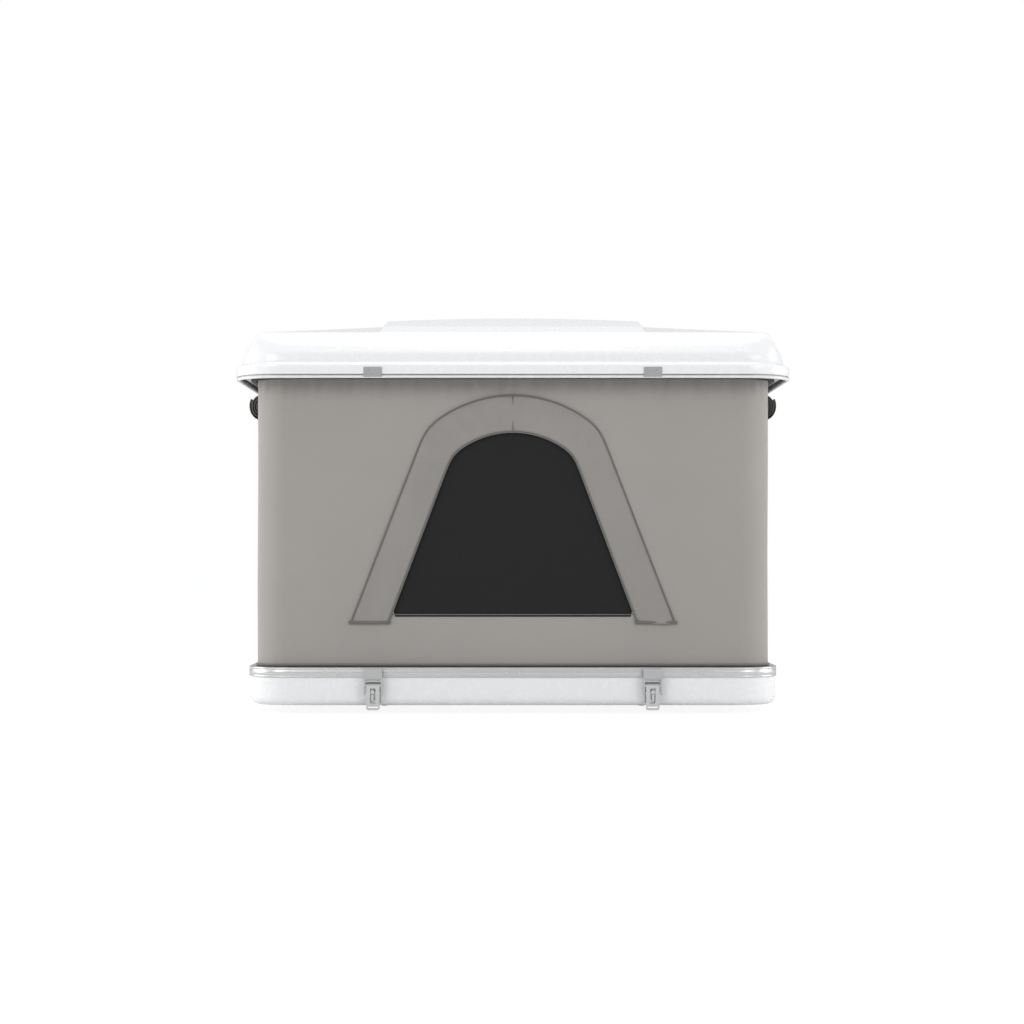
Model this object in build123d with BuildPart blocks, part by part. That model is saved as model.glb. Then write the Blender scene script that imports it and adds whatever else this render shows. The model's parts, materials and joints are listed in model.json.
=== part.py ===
"""Hard-shell pop-up roof tent, raised: base tray, four lifting linkages, lid and fabric walls.

Frame: millimetres, X across the tent, Y along it (front is -Y), Z up. The origin is the centre
of the footprint at the underside of the mounting rails. "Corner" pieces are drawn once for the
front right corner (+X, -Y) and mirrored to the other three.
"""

import os
from math import asin, atan2, cos, degrees, radians, sin, sqrt

from build123d import *

# ---------------------------------------------------------------- driving dimensions
# Heights, upwards from the rails' underside
RAIL_HEIGHT = 24.0          # mounting rails
TRAY_HEIGHT = 80.0          # visible side of the base tray
RIM_HEIGHT = 29.0           # aluminium rim round the tray
LIFT = 822.0                # how far the lid travels
LIP_HEIGHT = 31.0           # vertical band round the lid
TRIM_HEIGHT = 11.0          # round edge trim under that band

# Plan sizes: the rim and the tent follow from the lid
LID_WIDTH, LID_LENGTH, LID_CORNER = 1600.0, 2100.0, 130.0
LID_PAST_RIM_X, LID_PAST_RIM_Y = 35.0, 32.0
RIM_WIDTH, RIM_LENGTH, RIM_CORNER = LID_WIDTH - 2 * LID_PAST_RIM_X, LID_LENGTH - 2 * LID_PAST_RIM_Y, 120.0
TENT_IN_RIM_X, TENT_IN_RIM_Y = 23.0, 30.0
TENT_WIDTH, TENT_LENGTH, TENT_CORNER = RIM_WIDTH - 2 * TENT_IN_RIM_X, RIM_LENGTH - 2 * TENT_IN_RIM_Y, 90.0

# Sheet thicknesses and clearances
SHELL_WALL = 4.0            # moulded tray and lid
FLOOR_THICK = 6.0
RIM_WALL = 3.0
RIM_WIDE = 30.0
FABRIC = 3.0
SEAT_GAP = 0.3              # between pieces that rest against each other
PIN_GAP = 0.06              # radial clearance of a running pin

# Mounting rails: a T-slot profile that opens downwards
RAIL_WIDTH, RAIL_LENGTH, RAIL_SPACING = 44.0, 1380.0, 800.0
RAIL_WALL = 4.0
SLOT_MOUTH, SLOT_WIDE, RAIL_WEB = 11.0, 26.0, 5.0
RAIL_SCREWS, RAIL_SCREW_PITCH, RAIL_SCREW_DIA = 5, 310.0, 6.0

# Lifting linkage: lower arm, upper arm and gas strut in each corner
ARM_LENGTH = 550.0          # pivot to pivot, both arms
ARM_WIDE, ARM_THICK = 32.0, 10.0
HINGE_Y = TENT_LENGTH / 2 - 128.0   # base and lid pivots, from the middle of the tent
BASE_PIVOT_Z = 78.0
LID_PIVOT_DROP = 27.0       # lid pivot below the top of the lid's frame
PIVOT_DIA, PIVOT_HEAD_DIA, PIVOT_HEAD_THICK = 12.0, 20.0, 3.0
LOWER_ARM_X = TENT_WIDTH / 2 - 38.0     # inner face of the lower arm
ARM_GAP = 2.2               # between the planes of the two arms
BRACKET_THICK = 6.0
STRUT_RADIUS = 180.0        # both strut pivots, from the base pivot
STRUT_EAR_ANGLE = 56.0      # strut ear, from the lower arm's centre line
STRUT_FOOT_DROP = 34.0      # strut foot below the base pivot
STRUT_X = LOWER_ARM_X - 14.0
STRUT_TUBE_DIA, STRUT_TUBE_WALL, STRUT_ROD_DIA = 22.0, 2.0, 10.0
STRUT_TUBE_START, STRUT_TUBE_LENGTH, STRUT_ROD_LENGTH = 20.0, 168.0, 178.0
STRUT_EYE_DIA, STRUT_EYE_THICK, STRUT_PIN_DIA = 20.0, 12.0, 8.0
STRUT_PISTON_THICK, STRUT_GUIDE_THICK = 8.0, 10.0
STRUT_NECK_RADIUS, STRUT_CAP, STRUT_WASHER_DIA, STRUT_WASHER = 5.0, 4.0, 13.0, 2.0
EAR_WIDE, PIVOT_BOSS_DIA = 24.0, 28.0
FOOT_PLATE, FOOT_REACH, FOOT_RIB = 4.0, 30.0, 26.0      # base bracket's foot on the floor
FLANGE_LENGTH, FLANGE_INSET = 64.0, 5.0                 # lid bracket's flange on the frame

# Mattress, between the struts
MATTRESS_WIDTH, MATTRESS_LENGTH = 2 * (STRUT_X - 25.0), TENT_LENGTH - 56.0
MATTRESS_THICK, MATTRESS_CORNER, MATTRESS_EDGE = 65.0, 60.0, 12.0

# Latches and keepers
LATCH_X = 397.0
LATCH_WIDTH = 53.0
LATCH_PIVOT_Z = 83.0
LATCH_PIVOT_OUT = 19.0      # latch pivot in front of the tray's face
LEVER_WIDTH, LEVER_THICK, LEVER_BOTTOM_Z = 38.0, 3.0, 13.0
LATCH_BARREL_DIA, LATCH_PIN_DIA = 14.0, 6.0
LATCH_THROW = 22.0          # link pin below the lever's pivot
LINK_THICK, LINK_WIDE = 4.0, 9.0
CLAW_BOTTOM_Z, CLAW_TOP_Z = 104.0, 131.0
STAPLE_Z, STAPLE_TALL, STAPLE_THICK = 50.0, 20.0, 6.0
STAPLE_REACH, STAPLE_HOLE_DIA = 24.0, 7.0       # reach in front of the lever's pivot
PLATE_THICK, LATCH_EAR, LATCH_EAR_TALL = 3.0, 3.0, 12.0
SLOT_HIGH, SLOT_TALL, SLOT_ACROSS = 53.0, 45.0, 15.0     # lever's slot over the staple
GRIP_Z, GRIP_LONG, GRIP_TALL = 21.0, 30.0, 4.0          # slot near the lever's lower end
LINK_PIN_OUT, CLAW_PLATE, CLAW_HOOK = 8.0, 3.0, 12.0
KEEPER_WIDTH, KEEPER_HEIGHT, KEEPER_THICK, KEEPER_HOOK = 52.0, 28.0, 2.5, 8.0
RIVET_DIA, RIVET_HEAD_DIA, RIVET_HEAD = 4.8, 9.0, 2.2
RIVET_PITCH, RIVET_SPREAD = 38.0, 517.0

# Windows at both ends and doors on both sides: an arch that is wide at its foot
WINDOW_FOOT, WINDOW_FOOT_Z = 350.0, 276.0
WINDOW_SHOULDER, WINDOW_SHOULDER_Z, WINDOW_TOP_Z = 176.0, 737.0, 806.0
BAND_FOOT, BAND_SHOULDER, BAND_SHOULDER_Z, BAND_TOP_Z = 465.0, 250.0, 813.0, 911.0
BAND_HEM_DROP = 20.0
BAND_THICK = 2.5
MESH_THICK = 1.0
DOOR_FOOT, DOOR_SHOULDER, DOOR_SHOULDER_Z, DOOR_TOP_Z = 490.0, 350.0, 745.0, 842.0
ROLL_WIDE, ROLL_TALL, ROLL_LENGTH, ROLL_Z = 66.0, 88.0, 1120.0, 908.0
STRAP_THICK, STRAP_WIDE, STRAP_Y = 2.0, 28.0, 330.0

# Sections of the lid above its lip: half width, half length, corner, height above the lip's top
BODY_STEP, BODY_TAPER, BODY_TAPER_HEIGHT = 15.0, 8.0, 30.0
LID_BODY = [(LID_WIDTH / 2 - step_in, LID_LENGTH / 2 - set_back, corner, height)
            for step_in, set_back, corner, height in (
                (BODY_STEP, BODY_STEP, 115.0, 0.0),
                (BODY_STEP + BODY_TAPER, BODY_STEP + BODY_TAPER, 112.0, BODY_TAPER_HEIGHT),
                (44.0, 48.0, 104.0, 65.0), (63.0, 80.0, 96.0, 96.0),
                (240.0, 220.0, 80.0, 119.0), (419.0, 350.0, 60.0, 142.0))]
# Raised middle panel, which runs down over the nose: its width doesn't follow the lid's
LID_PANEL = [(half_width, LID_LENGTH / 2 - set_back, corner, height)
             for half_width, set_back, corner, height in (
                 (383.0, 84.0, 44.0, 96.0), (377.0, 150.0, 42.0, 121.0), (371.0, 284.0, 40.0, 151.0),
                 (270.0, 315.0, 40.0, 158.0), (187.0, 335.0, 40.0, 163.0), (90.0, 360.0, 40.0, 169.0))]

# ---------------------------------------------------------------- derived places
TRAY_BOTTOM = RAIL_HEIGHT
FLOOR_Z = TRAY_BOTTOM + FLOOR_THICK
RIM_BOTTOM = TRAY_BOTTOM + TRAY_HEIGHT
RIM_TOP = RIM_BOTTOM + RIM_HEIGHT
TRIM_BOTTOM = RIM_TOP + LIFT
LIP_BOTTOM = TRIM_BOTTOM + TRIM_HEIGHT
LIP_TOP = LIP_BOTTOM + LIP_HEIGHT
TRAY_INSET = RIM_WALL + SEAT_GAP                # tray's side behind the rim's outer face
TRAY_WIDTH, TRAY_LENGTH = RIM_WIDTH - 2 * TRAY_INSET, RIM_LENGTH - 2 * TRAY_INSET
TRAY_CORNER = RIM_CORNER - TRAY_INSET
TRAY_EDGE = 22.0                                # round along the tray's bottom edge

FRAME_HEIGHT, FRAME_ABOVE_LIP = 38.0, 6.0
FRAME_TOP = LIP_TOP + FRAME_ABOVE_LIP
FRAME_BOTTOM = FRAME_TOP - FRAME_HEIGHT
FRAME_WALL = 3.0
BODY_LEAN = BODY_TAPER * (FRAME_TOP - LIP_TOP + SHELL_WALL) / BODY_TAPER_HEIGHT
FRAME_OUT = LID_WIDTH / 2 - BODY_STEP - SHELL_WALL - BODY_LEAN - SEAT_GAP
FRAME_IN = TENT_WIDTH / 2 + SEAT_GAP

BASE_PIVOT = Vector(-HINGE_Y, BASE_PIVOT_Z)     # (y, z), front corners
LID_PIVOT = Vector(-HINGE_Y, FRAME_TOP - LID_PIVOT_DROP)
HALF_RISE = (LID_PIVOT.Y - BASE_PIVOT.Y) / 2
ARM_RAISED = degrees(asin(HALF_RISE / ARM_LENGTH))
ARM_FOLDED = degrees(asin((HALF_RISE - LIFT / 2) / ARM_LENGTH))
FOOT_ANGLE = -degrees(asin(STRUT_FOOT_DROP / STRUT_RADIUS))


def polar(centre, radius, angle):
    """Point in the YZ plane at a radius and an angle in degrees from a centre."""
    return centre + Vector(radius * cos(radians(angle)), radius * sin(radians(angle)))


ELBOW = polar(BASE_PIVOT, ARM_LENGTH, ARM_RAISED)
STRUT_FOOT = polar(BASE_PIVOT, STRUT_RADIUS, FOOT_ANGLE)
STRUT_HEAD = polar(BASE_PIVOT, STRUT_RADIUS, ARM_RAISED + STRUT_EAR_ANGLE)
UPPER_ARM_X = LOWER_ARM_X + ARM_THICK + ARM_GAP
PIVOT_END_X = UPPER_ARM_X + ARM_THICK + SEAT_GAP + PIVOT_HEAD_THICK
EAR_X = UPPER_ARM_X + 0.1                       # base bracket's ear, beside the lower arm

FOOT_EDGE_X = TRAY_WIDTH / 2 - TRAY_EDGE - 1    # floor is flat up to here
TRAY_FACE_Y = -TRAY_LENGTH / 2
LATCH_PIVOT = Vector(TRAY_FACE_Y - LATCH_PIVOT_OUT, LATCH_PIVOT_Z)
LINK_PIN = LATCH_PIVOT + Vector(-2.0, -LATCH_THROW)
STAPLE_TIP = LATCH_PIVOT.X - STAPLE_REACH
STAPLE_HOLE_Y = STAPLE_TIP + 4 + STAPLE_HOLE_DIA / 2

CORNERS = {"front_left": (-1, -1), "front_right": (1, -1), "rear_left": (-1, 1), "rear_right": (1, 1)}
SIDES = {"left": -1, "right": 1}
ENDS = {"front": -1, "rear": 1}

os.makedirs("parts", exist_ok=True)


def save(part, name):
    """Label a finished piece and write it as its own file."""
    part.label = name
    export_step(part, f"parts/{name}.step")


def mirrored(part, side, end):
    """A piece drawn for the right side and the front end, turned to another corner."""
    if side < 0:
        part = part.mirror(Plane.YZ)
    if end > 0:
        part = part.mirror(Plane.XZ)
    return part


def save_corners(part, name):
    """Write the four mirrored copies of a corner piece."""
    for corner, (side, end) in CORNERS.items():
        save(mirrored(part, side, end), f"{name}_{corner}")


# ---------------------------------------------------------------- shared shapes
def slab(width, length, corner, bottom, height):
    """Rounded rectangular block, centred on the tent."""
    with BuildPart() as block:
        with BuildSketch(Plane.XY.offset(bottom)):
            RectangleRounded(width, length, corner)
        extrude(amount=height)
    return block.part


def ring(width, length, corner, wall, bottom, height):
    """Rounded rectangular ring of constant wall, centred on the tent."""
    with BuildPart() as hoop:
        with BuildSketch(Plane.XY.offset(bottom)):
            RectangleRounded(width, length, corner)
            RectangleRounded(width - 2 * wall, length - 2 * wall, corner - wall, mode=Mode.SUBTRACT)
        extrude(amount=height)
    return hoop.part


def link(start, end, width):
    """Flat link with round ends on two pivots, drawn inside a sketch of the YZ plane."""
    span = end - start
    with Locations((start + end) * 0.5):
        SlotCenterToCenter(span.length, width, rotation=degrees(atan2(span.Y, span.X)))


def pin(centre, diameter, near_x, far_x, mode=Mode.ADD):
    """Round pin along X through a point of the YZ plane, drawn inside a part."""
    with BuildSketch(Plane.YZ.offset(near_x)) as section:
        with Locations(centre):
            Circle(diameter / 2)
    extrude(section.sketch, amount=far_x - near_x, mode=mode)


def arch(foot, foot_z, shoulder, shoulder_z, top_z, mode=Mode.ADD):
    """Opening outline: a wide foot, sides that lean in to the shoulders and a shallow curved top."""
    with BuildLine() as outline:
        Polyline((-shoulder, shoulder_z), (-foot, foot_z), (foot, foot_z), (shoulder, shoulder_z))
        ThreePointArc((shoulder, shoulder_z), (0, top_z), (-shoulder, shoulder_z))
    make_face(outline.edges(), mode=mode)


# ---------------------------------------------------------------- base tray and rim
def base_shell():
    """Moulded tray with a flat floor and a wall that rises inside the rim."""
    wall_top = RIM_TOP - RIM_WALL - SEAT_GAP
    with BuildPart() as tray:
        with BuildSketch(Plane.XY.offset(TRAY_BOTTOM)):
            RectangleRounded(TRAY_WIDTH, TRAY_LENGTH, TRAY_CORNER)
        extrude(amount=wall_top - TRAY_BOTTOM)
        fillet(tray.faces().sort_by(Axis.Z)[0].edges(), TRAY_EDGE)
        inner_width, inner_length = TRAY_WIDTH - 2 * SHELL_WALL, TRAY_LENGTH - 2 * SHELL_WALL
        with BuildPart(mode=Mode.PRIVATE) as hollow:
            with BuildSketch(Plane.XY.offset(FLOOR_Z)):
                RectangleRounded(inner_width, inner_length, TRAY_CORNER - SHELL_WALL)
            extrude(amount=wall_top - FLOOR_Z)
            fillet(hollow.faces().sort_by(Axis.Z)[0].edges(), TRAY_EDGE - SHELL_WALL)
        add(hollow.part, mode=Mode.SUBTRACT)
        for side in SIDES.values():
            with BuildSketch(Plane.XY.offset(FLOOR_Z)):
                with Locations((side * RAIL_SPACING / 2, 0)):
                    with GridLocations(0, RAIL_SCREW_PITCH, 1, RAIL_SCREWS):
                        Circle(RAIL_SCREW_DIA / 2 + PIN_GAP)
            extrude(amount=-FLOOR_THICK, mode=Mode.SUBTRACT)
    return tray.part


def rim_profile():
    """Aluminium rim: a channel that opens downwards over the top of the tray's wall."""
    with BuildPart() as rim:
        add(ring(RIM_WIDTH, RIM_LENGTH, RIM_CORNER, RIM_WIDE, RIM_BOTTOM, RIM_HEIGHT))
        groove = RIM_WIDE - 2 * RIM_WALL
        add(ring(RIM_WIDTH - 2 * RIM_WALL, RIM_LENGTH - 2 * RIM_WALL, RIM_CORNER - RIM_WALL, groove,
                 RIM_BOTTOM, RIM_HEIGHT - RIM_WALL), mode=Mode.SUBTRACT)
        for plane, places in rivet_rows():
            with BuildSketch(plane):
                with Locations(*places):
                    Circle(RIVET_DIA / 2 + PIN_GAP)
            extrude(amount=-RIM_WALL, mode=Mode.SUBTRACT)
    return rim.part


def rivet_rows():
    """Outward planes of the rim's four faces and the rivet places on each, in pairs."""
    height = RIM_BOTTOM + RIM_HEIGHT / 2
    along = [middle + half for middle in (-RIVET_SPREAD, 0.0, RIVET_SPREAD)
             for half in (-RIVET_PITCH / 2, RIVET_PITCH / 2)]
    faces = [((0, -RIM_LENGTH / 2, height), (1, 0, 0), (0, -1, 0)),
             ((0, RIM_LENGTH / 2, height), (-1, 0, 0), (0, 1, 0)),
             ((-RIM_WIDTH / 2, 0, height), (0, -1, 0), (-1, 0, 0)),
             ((RIM_WIDTH / 2, 0, height), (0, 1, 0), (1, 0, 0))]
    return [(Plane(origin, x_dir=across, z_dir=out), [(a, 0) for a in along])
            for origin, across, out in faces]


def rim_rivets():
    """Dome-headed rivets that hold the rim, with their shanks in its outer wall."""
    with BuildPart() as rivets:
        for plane, places in rivet_rows():
            with BuildSketch(plane.offset(-RIM_WALL)):
                with Locations(*places):
                    Circle(RIVET_DIA / 2)
            extrude(amount=RIM_WALL)
            with BuildSketch(plane):
                with Locations(*places):
                    Circle(RIVET_HEAD_DIA / 2)
            extrude(amount=RIVET_HEAD, taper=25)
    return rivets.part


def mounting_rail():
    """T-slot rail along the tray's underside, drawn on the tent's centre line."""
    with BuildPart() as rail:
        with BuildSketch(Plane.XZ.offset(-RAIL_LENGTH / 2)):
            with Locations((0, RAIL_HEIGHT / 2)):
                RectangleRounded(RAIL_WIDTH, RAIL_HEIGHT, 1.5)
            with Locations((0, RAIL_WALL / 2)):
                Rectangle(SLOT_MOUTH, RAIL_WALL, mode=Mode.SUBTRACT)
            chamber = RAIL_HEIGHT - RAIL_WEB - RAIL_WALL
            with Locations((0, RAIL_WALL + chamber / 2)):
                Rectangle(SLOT_WIDE, chamber, mode=Mode.SUBTRACT)
        extrude(amount=RAIL_LENGTH)
        with BuildSketch(Plane.XY.offset(RAIL_HEIGHT)):
            with GridLocations(0, RAIL_SCREW_PITCH, 1, RAIL_SCREWS):
                Circle(RAIL_SCREW_DIA / 2 + PIN_GAP)
        extrude(amount=-RAIL_WEB, mode=Mode.SUBTRACT)
    return rail.part


def rail_screws():
    """Screws through the tray's floor into the rails, flush with the floor."""
    with BuildPart() as screws:
        for side in SIDES.values():
            with BuildSketch(Plane.XY.offset(FLOOR_Z)):
                with Locations((side * RAIL_SPACING / 2, 0)):
                    with GridLocations(0, RAIL_SCREW_PITCH, 1, RAIL_SCREWS):
                        Circle(RAIL_SCREW_DIA / 2)
            extrude(amount=-(FLOOR_THICK + RAIL_WEB))
    return screws.part


def mattress():
    """Foam mattress on the tray's floor, between the linkages."""
    with BuildPart() as foam:
        add(slab(MATTRESS_WIDTH, MATTRESS_LENGTH, MATTRESS_CORNER, FLOOR_Z + SEAT_GAP, MATTRESS_THICK))
        fillet(foam.faces().sort_by(Axis.Z)[-1].edges(), MATTRESS_EDGE)
    return foam.part


# ---------------------------------------------------------------- lifting linkage, front right
def base_bracket():
    """Angle bracket on the floor: carries the lower arm's pivot and the strut's foot pin."""
    foot_back, foot_front = STRUT_FOOT.X + FOOT_REACH, BASE_PIVOT.X - FOOT_REACH
    with BuildPart() as bracket:
        with BuildSketch(Plane.YZ.offset(EAR_X)):
            link(Vector(BASE_PIVOT.X, FLOOR_Z + ARM_WIDE / 2), BASE_PIVOT, ARM_WIDE)
            with Locations(((foot_back + foot_front) / 2, FLOOR_Z + FOOT_RIB / 2)):
                Rectangle(foot_back - foot_front, FOOT_RIB)
        extrude(amount=BRACKET_THICK)
        with BuildSketch(Plane.XY.offset(FLOOR_Z)):
            with Locations(((EAR_X + FOOT_EDGE_X) / 2, (foot_back + foot_front) / 2)):
                Rectangle(FOOT_EDGE_X - EAR_X, foot_back - foot_front)
        extrude(amount=FOOT_PLATE)
        pin(BASE_PIVOT, PIVOT_DIA, LOWER_ARM_X - SEAT_GAP, EAR_X)
        pin(BASE_PIVOT, PIVOT_HEAD_DIA, LOWER_ARM_X - SEAT_GAP - PIVOT_HEAD_THICK, LOWER_ARM_X - SEAT_GAP)
        eye_in, eye_out = STRUT_X - STRUT_EYE_THICK / 2, STRUT_X + STRUT_EYE_THICK / 2
        pin(STRUT_FOOT, STRUT_PIN_DIA, eye_in - SEAT_GAP, EAR_X)
        pin(STRUT_FOOT, STRUT_WASHER_DIA, eye_in - SEAT_GAP - STRUT_WASHER, eye_in - SEAT_GAP)
        pin(STRUT_FOOT, STRUT_WASHER_DIA, eye_out + SEAT_GAP, EAR_X)
    return bracket.part


def lower_arm():
    """Lower arm from the base pivot to the elbow, with the ear that the gas strut pushes on."""
    with BuildPart() as arm:
        with BuildSketch(Plane.YZ.offset(LOWER_ARM_X)):
            link(BASE_PIVOT, ELBOW, ARM_WIDE)
            link(BASE_PIVOT, STRUT_HEAD, EAR_WIDE)
            link(STRUT_HEAD, polar(BASE_PIVOT, STRUT_RADIUS, ARM_RAISED), EAR_WIDE)
        extrude(amount=ARM_THICK)
        face = LOWER_ARM_X + ARM_THICK
        pin(BASE_PIVOT, PIVOT_BOSS_DIA, face, EAR_X - SEAT_GAP)
        pin(ELBOW, PIVOT_BOSS_DIA, face, UPPER_ARM_X - SEAT_GAP)
        pin(BASE_PIVOT, PIVOT_DIA + 2 * PIN_GAP, LOWER_ARM_X, EAR_X, mode=Mode.SUBTRACT)
        pin(ELBOW, PIVOT_DIA, face, PIVOT_END_X - PIVOT_HEAD_THICK)
        pin(ELBOW, PIVOT_HEAD_DIA, PIVOT_END_X - PIVOT_HEAD_THICK, PIVOT_END_X)
        eye_in, eye_out = STRUT_X - STRUT_EYE_THICK / 2, STRUT_X + STRUT_EYE_THICK / 2
        pin(STRUT_HEAD, STRUT_PIN_DIA, eye_in - SEAT_GAP, LOWER_ARM_X)
        pin(STRUT_HEAD, STRUT_WASHER_DIA, eye_in - SEAT_GAP - STRUT_WASHER, eye_in - SEAT_GAP)
        pin(STRUT_HEAD, STRUT_WASHER_DIA, eye_out + SEAT_GAP, LOWER_ARM_X)
    return arm.part


def upper_arm():
    """Upper arm from the elbow to the lid's pivot."""
    with BuildPart() as arm:
        with BuildSketch(Plane.YZ.offset(UPPER_ARM_X)):
            link(ELBOW, LID_PIVOT, ARM_WIDE)
            with Locations(ELBOW, LID_PIVOT):
                Circle(PIVOT_DIA / 2 + PIN_GAP, mode=Mode.SUBTRACT)
        extrude(amount=ARM_THICK)
    return arm.part


def lid_bracket():
    """Bracket on the lid's frame with the pin that the upper arm turns on."""
    ear_x = UPPER_ARM_X - SEAT_GAP - BRACKET_THICK
    with BuildPart() as bracket:
        with BuildSketch(Plane.YZ.offset(ear_x)):
            link(LID_PIVOT, Vector(LID_PIVOT.X, FRAME_TOP - ARM_WIDE / 2 + 4), ARM_WIDE)
            with Locations((LID_PIVOT.X, FRAME_TOP - 3)):
                Rectangle(ARM_WIDE, 14)
        extrude(amount=BRACKET_THICK)
        with BuildSketch(Plane.XY.offset(FRAME_TOP)):
            with Locations(((ear_x + FRAME_OUT - FLANGE_INSET) / 2, LID_PIVOT.X)):
                Rectangle(FRAME_OUT - FLANGE_INSET - ear_x, FLANGE_LENGTH)
        extrude(amount=FOOT_PLATE)
        pin(LID_PIVOT, PIVOT_DIA, ear_x + BRACKET_THICK, PIVOT_END_X - PIVOT_HEAD_THICK)
        pin(LID_PIVOT, PIVOT_HEAD_DIA, PIVOT_END_X - PIVOT_HEAD_THICK, PIVOT_END_X)
    return bracket.part


def turned(start, towards, outline):
    """Turn an outline of (distance, radius) points about the strut's axis, inside a part."""
    along = Vector(0, towards.X - start.X, towards.Y - start.Y)
    lengthwise = Plane((STRUT_X, start.X, start.Y), x_dir=along, z_dir=(1, 0, 0))
    with BuildSketch(lengthwise) as half:
        with BuildLine():
            Polyline(*outline, close=True)
        make_face()
    revolve(half.sketch, axis=Axis(lengthwise.origin, along))


def strut_eye(centre):
    """Eye with its running hole on one of the strut's pins, drawn inside a part."""
    near = STRUT_X - STRUT_EYE_THICK / 2
    pin(centre, STRUT_EYE_DIA, near, near + STRUT_EYE_THICK)
    pin(centre, STRUT_PIN_DIA + 2 * PIN_GAP, near, near + STRUT_EYE_THICK, mode=Mode.SUBTRACT)


def strut_cylinder():
    """Gas strut's pressure tube with its eye on the lower arm and a guide at its open end."""
    tube_end = STRUT_TUBE_START + STRUT_TUBE_LENGTH
    outer, bore, guide = STRUT_TUBE_DIA / 2, STRUT_TUBE_DIA / 2 - STRUT_TUBE_WALL, STRUT_ROD_DIA / 2 + PIN_GAP
    neck, cap = STRUT_NECK_RADIUS, STRUT_CAP
    with BuildPart() as tube:
        turned(STRUT_HEAD, STRUT_FOOT, [
            (STRUT_EYE_DIA / 2 - 2, 0), (STRUT_EYE_DIA / 2 - 2, neck), (STRUT_TUBE_START, neck),
            (STRUT_TUBE_START, outer), (tube_end, outer), (tube_end, guide),
            (tube_end - STRUT_GUIDE_THICK, guide), (tube_end - STRUT_GUIDE_THICK, bore),
            (STRUT_TUBE_START + cap, bore), (STRUT_TUBE_START + cap, 0)])
        strut_eye(STRUT_HEAD)
    return tube.part


def strut_rod():
    """Gas strut's rod from its eye on the base bracket to the piston inside the tube."""
    piston = STRUT_TUBE_DIA / 2 - STRUT_TUBE_WALL - PIN_GAP
    piston_back = STRUT_ROD_LENGTH - STRUT_PISTON_THICK
    with BuildPart() as rod:
        turned(STRUT_FOOT, STRUT_HEAD, [
            (STRUT_EYE_DIA / 2 - 2, 0), (STRUT_EYE_DIA / 2 - 2, STRUT_ROD_DIA / 2),
            (piston_back, STRUT_ROD_DIA / 2), (piston_back, piston), (STRUT_ROD_LENGTH, piston),
            (STRUT_ROD_LENGTH, 0)])
        strut_eye(STRUT_FOOT)
    return rod.part


# ---------------------------------------------------------------- latches, front right
def latch_span(width):
    """Near and far X of a piece of the latch that is centred on it."""
    return LATCH_X - width / 2, LATCH_X + width / 2


def latch_plate():
    """Plate on the tray with two ears, the lever's pivot pin and the padlock staple."""
    plate_back = TRAY_FACE_Y - 0.2
    plate_face = plate_back - PLATE_THICK
    ear = LATCH_EAR
    inner = LEVER_WIDTH / 2 + SEAT_GAP
    with BuildPart() as plate:
        with BuildSketch(Plane.XZ.offset(-plate_back)):
            with Locations((LATCH_X, (FLOOR_Z + RIM_BOTTOM) / 2)):
                RectangleRounded(2 * (inner + ear), RIM_BOTTOM - FLOOR_Z - 4, 2)
        extrude(amount=PLATE_THICK)
        for near in (LATCH_X - inner - ear, LATCH_X + inner):
            with BuildSketch(Plane.YZ.offset(near)):
                link(Vector(plate_face + 1, LATCH_PIVOT.Y), LATCH_PIVOT, LATCH_EAR_TALL)
                with Locations((plate_face + 8, LATCH_PIVOT.Y)):
                    Rectangle(10, 20, mode=Mode.SUBTRACT)
            extrude(amount=ear)
            with BuildSketch(Plane.YZ.offset(near)):
                with Locations(((plate_face + LATCH_PIVOT.X) / 2, LATCH_PIVOT.Y)):
                    Rectangle(plate_face - LATCH_PIVOT.X, LATCH_EAR_TALL)
            extrude(amount=ear)
        pin(LATCH_PIVOT, LATCH_PIN_DIA, LATCH_X - inner, LATCH_X + inner)
        with BuildSketch(Plane.YZ.offset(LATCH_X - STAPLE_THICK / 2)):
            with Locations(((plate_face + STAPLE_TIP) / 2, STAPLE_Z)):
                RectangleRounded(plate_face - STAPLE_TIP, STAPLE_TALL, 3)
            with Locations((STAPLE_HOLE_Y, STAPLE_Z)):
                Circle(STAPLE_HOLE_DIA / 2, mode=Mode.SUBTRACT)
        extrude(amount=STAPLE_THICK)
        with BuildSketch(Plane.XZ.offset(-plate_face)):
            with Locations((LATCH_X, STAPLE_Z + STAPLE_TALL / 2 + 5)):
                Circle(5.5)
        extrude(amount=plate_face - STAPLE_TIP - 4)
    return plate.part


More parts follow.
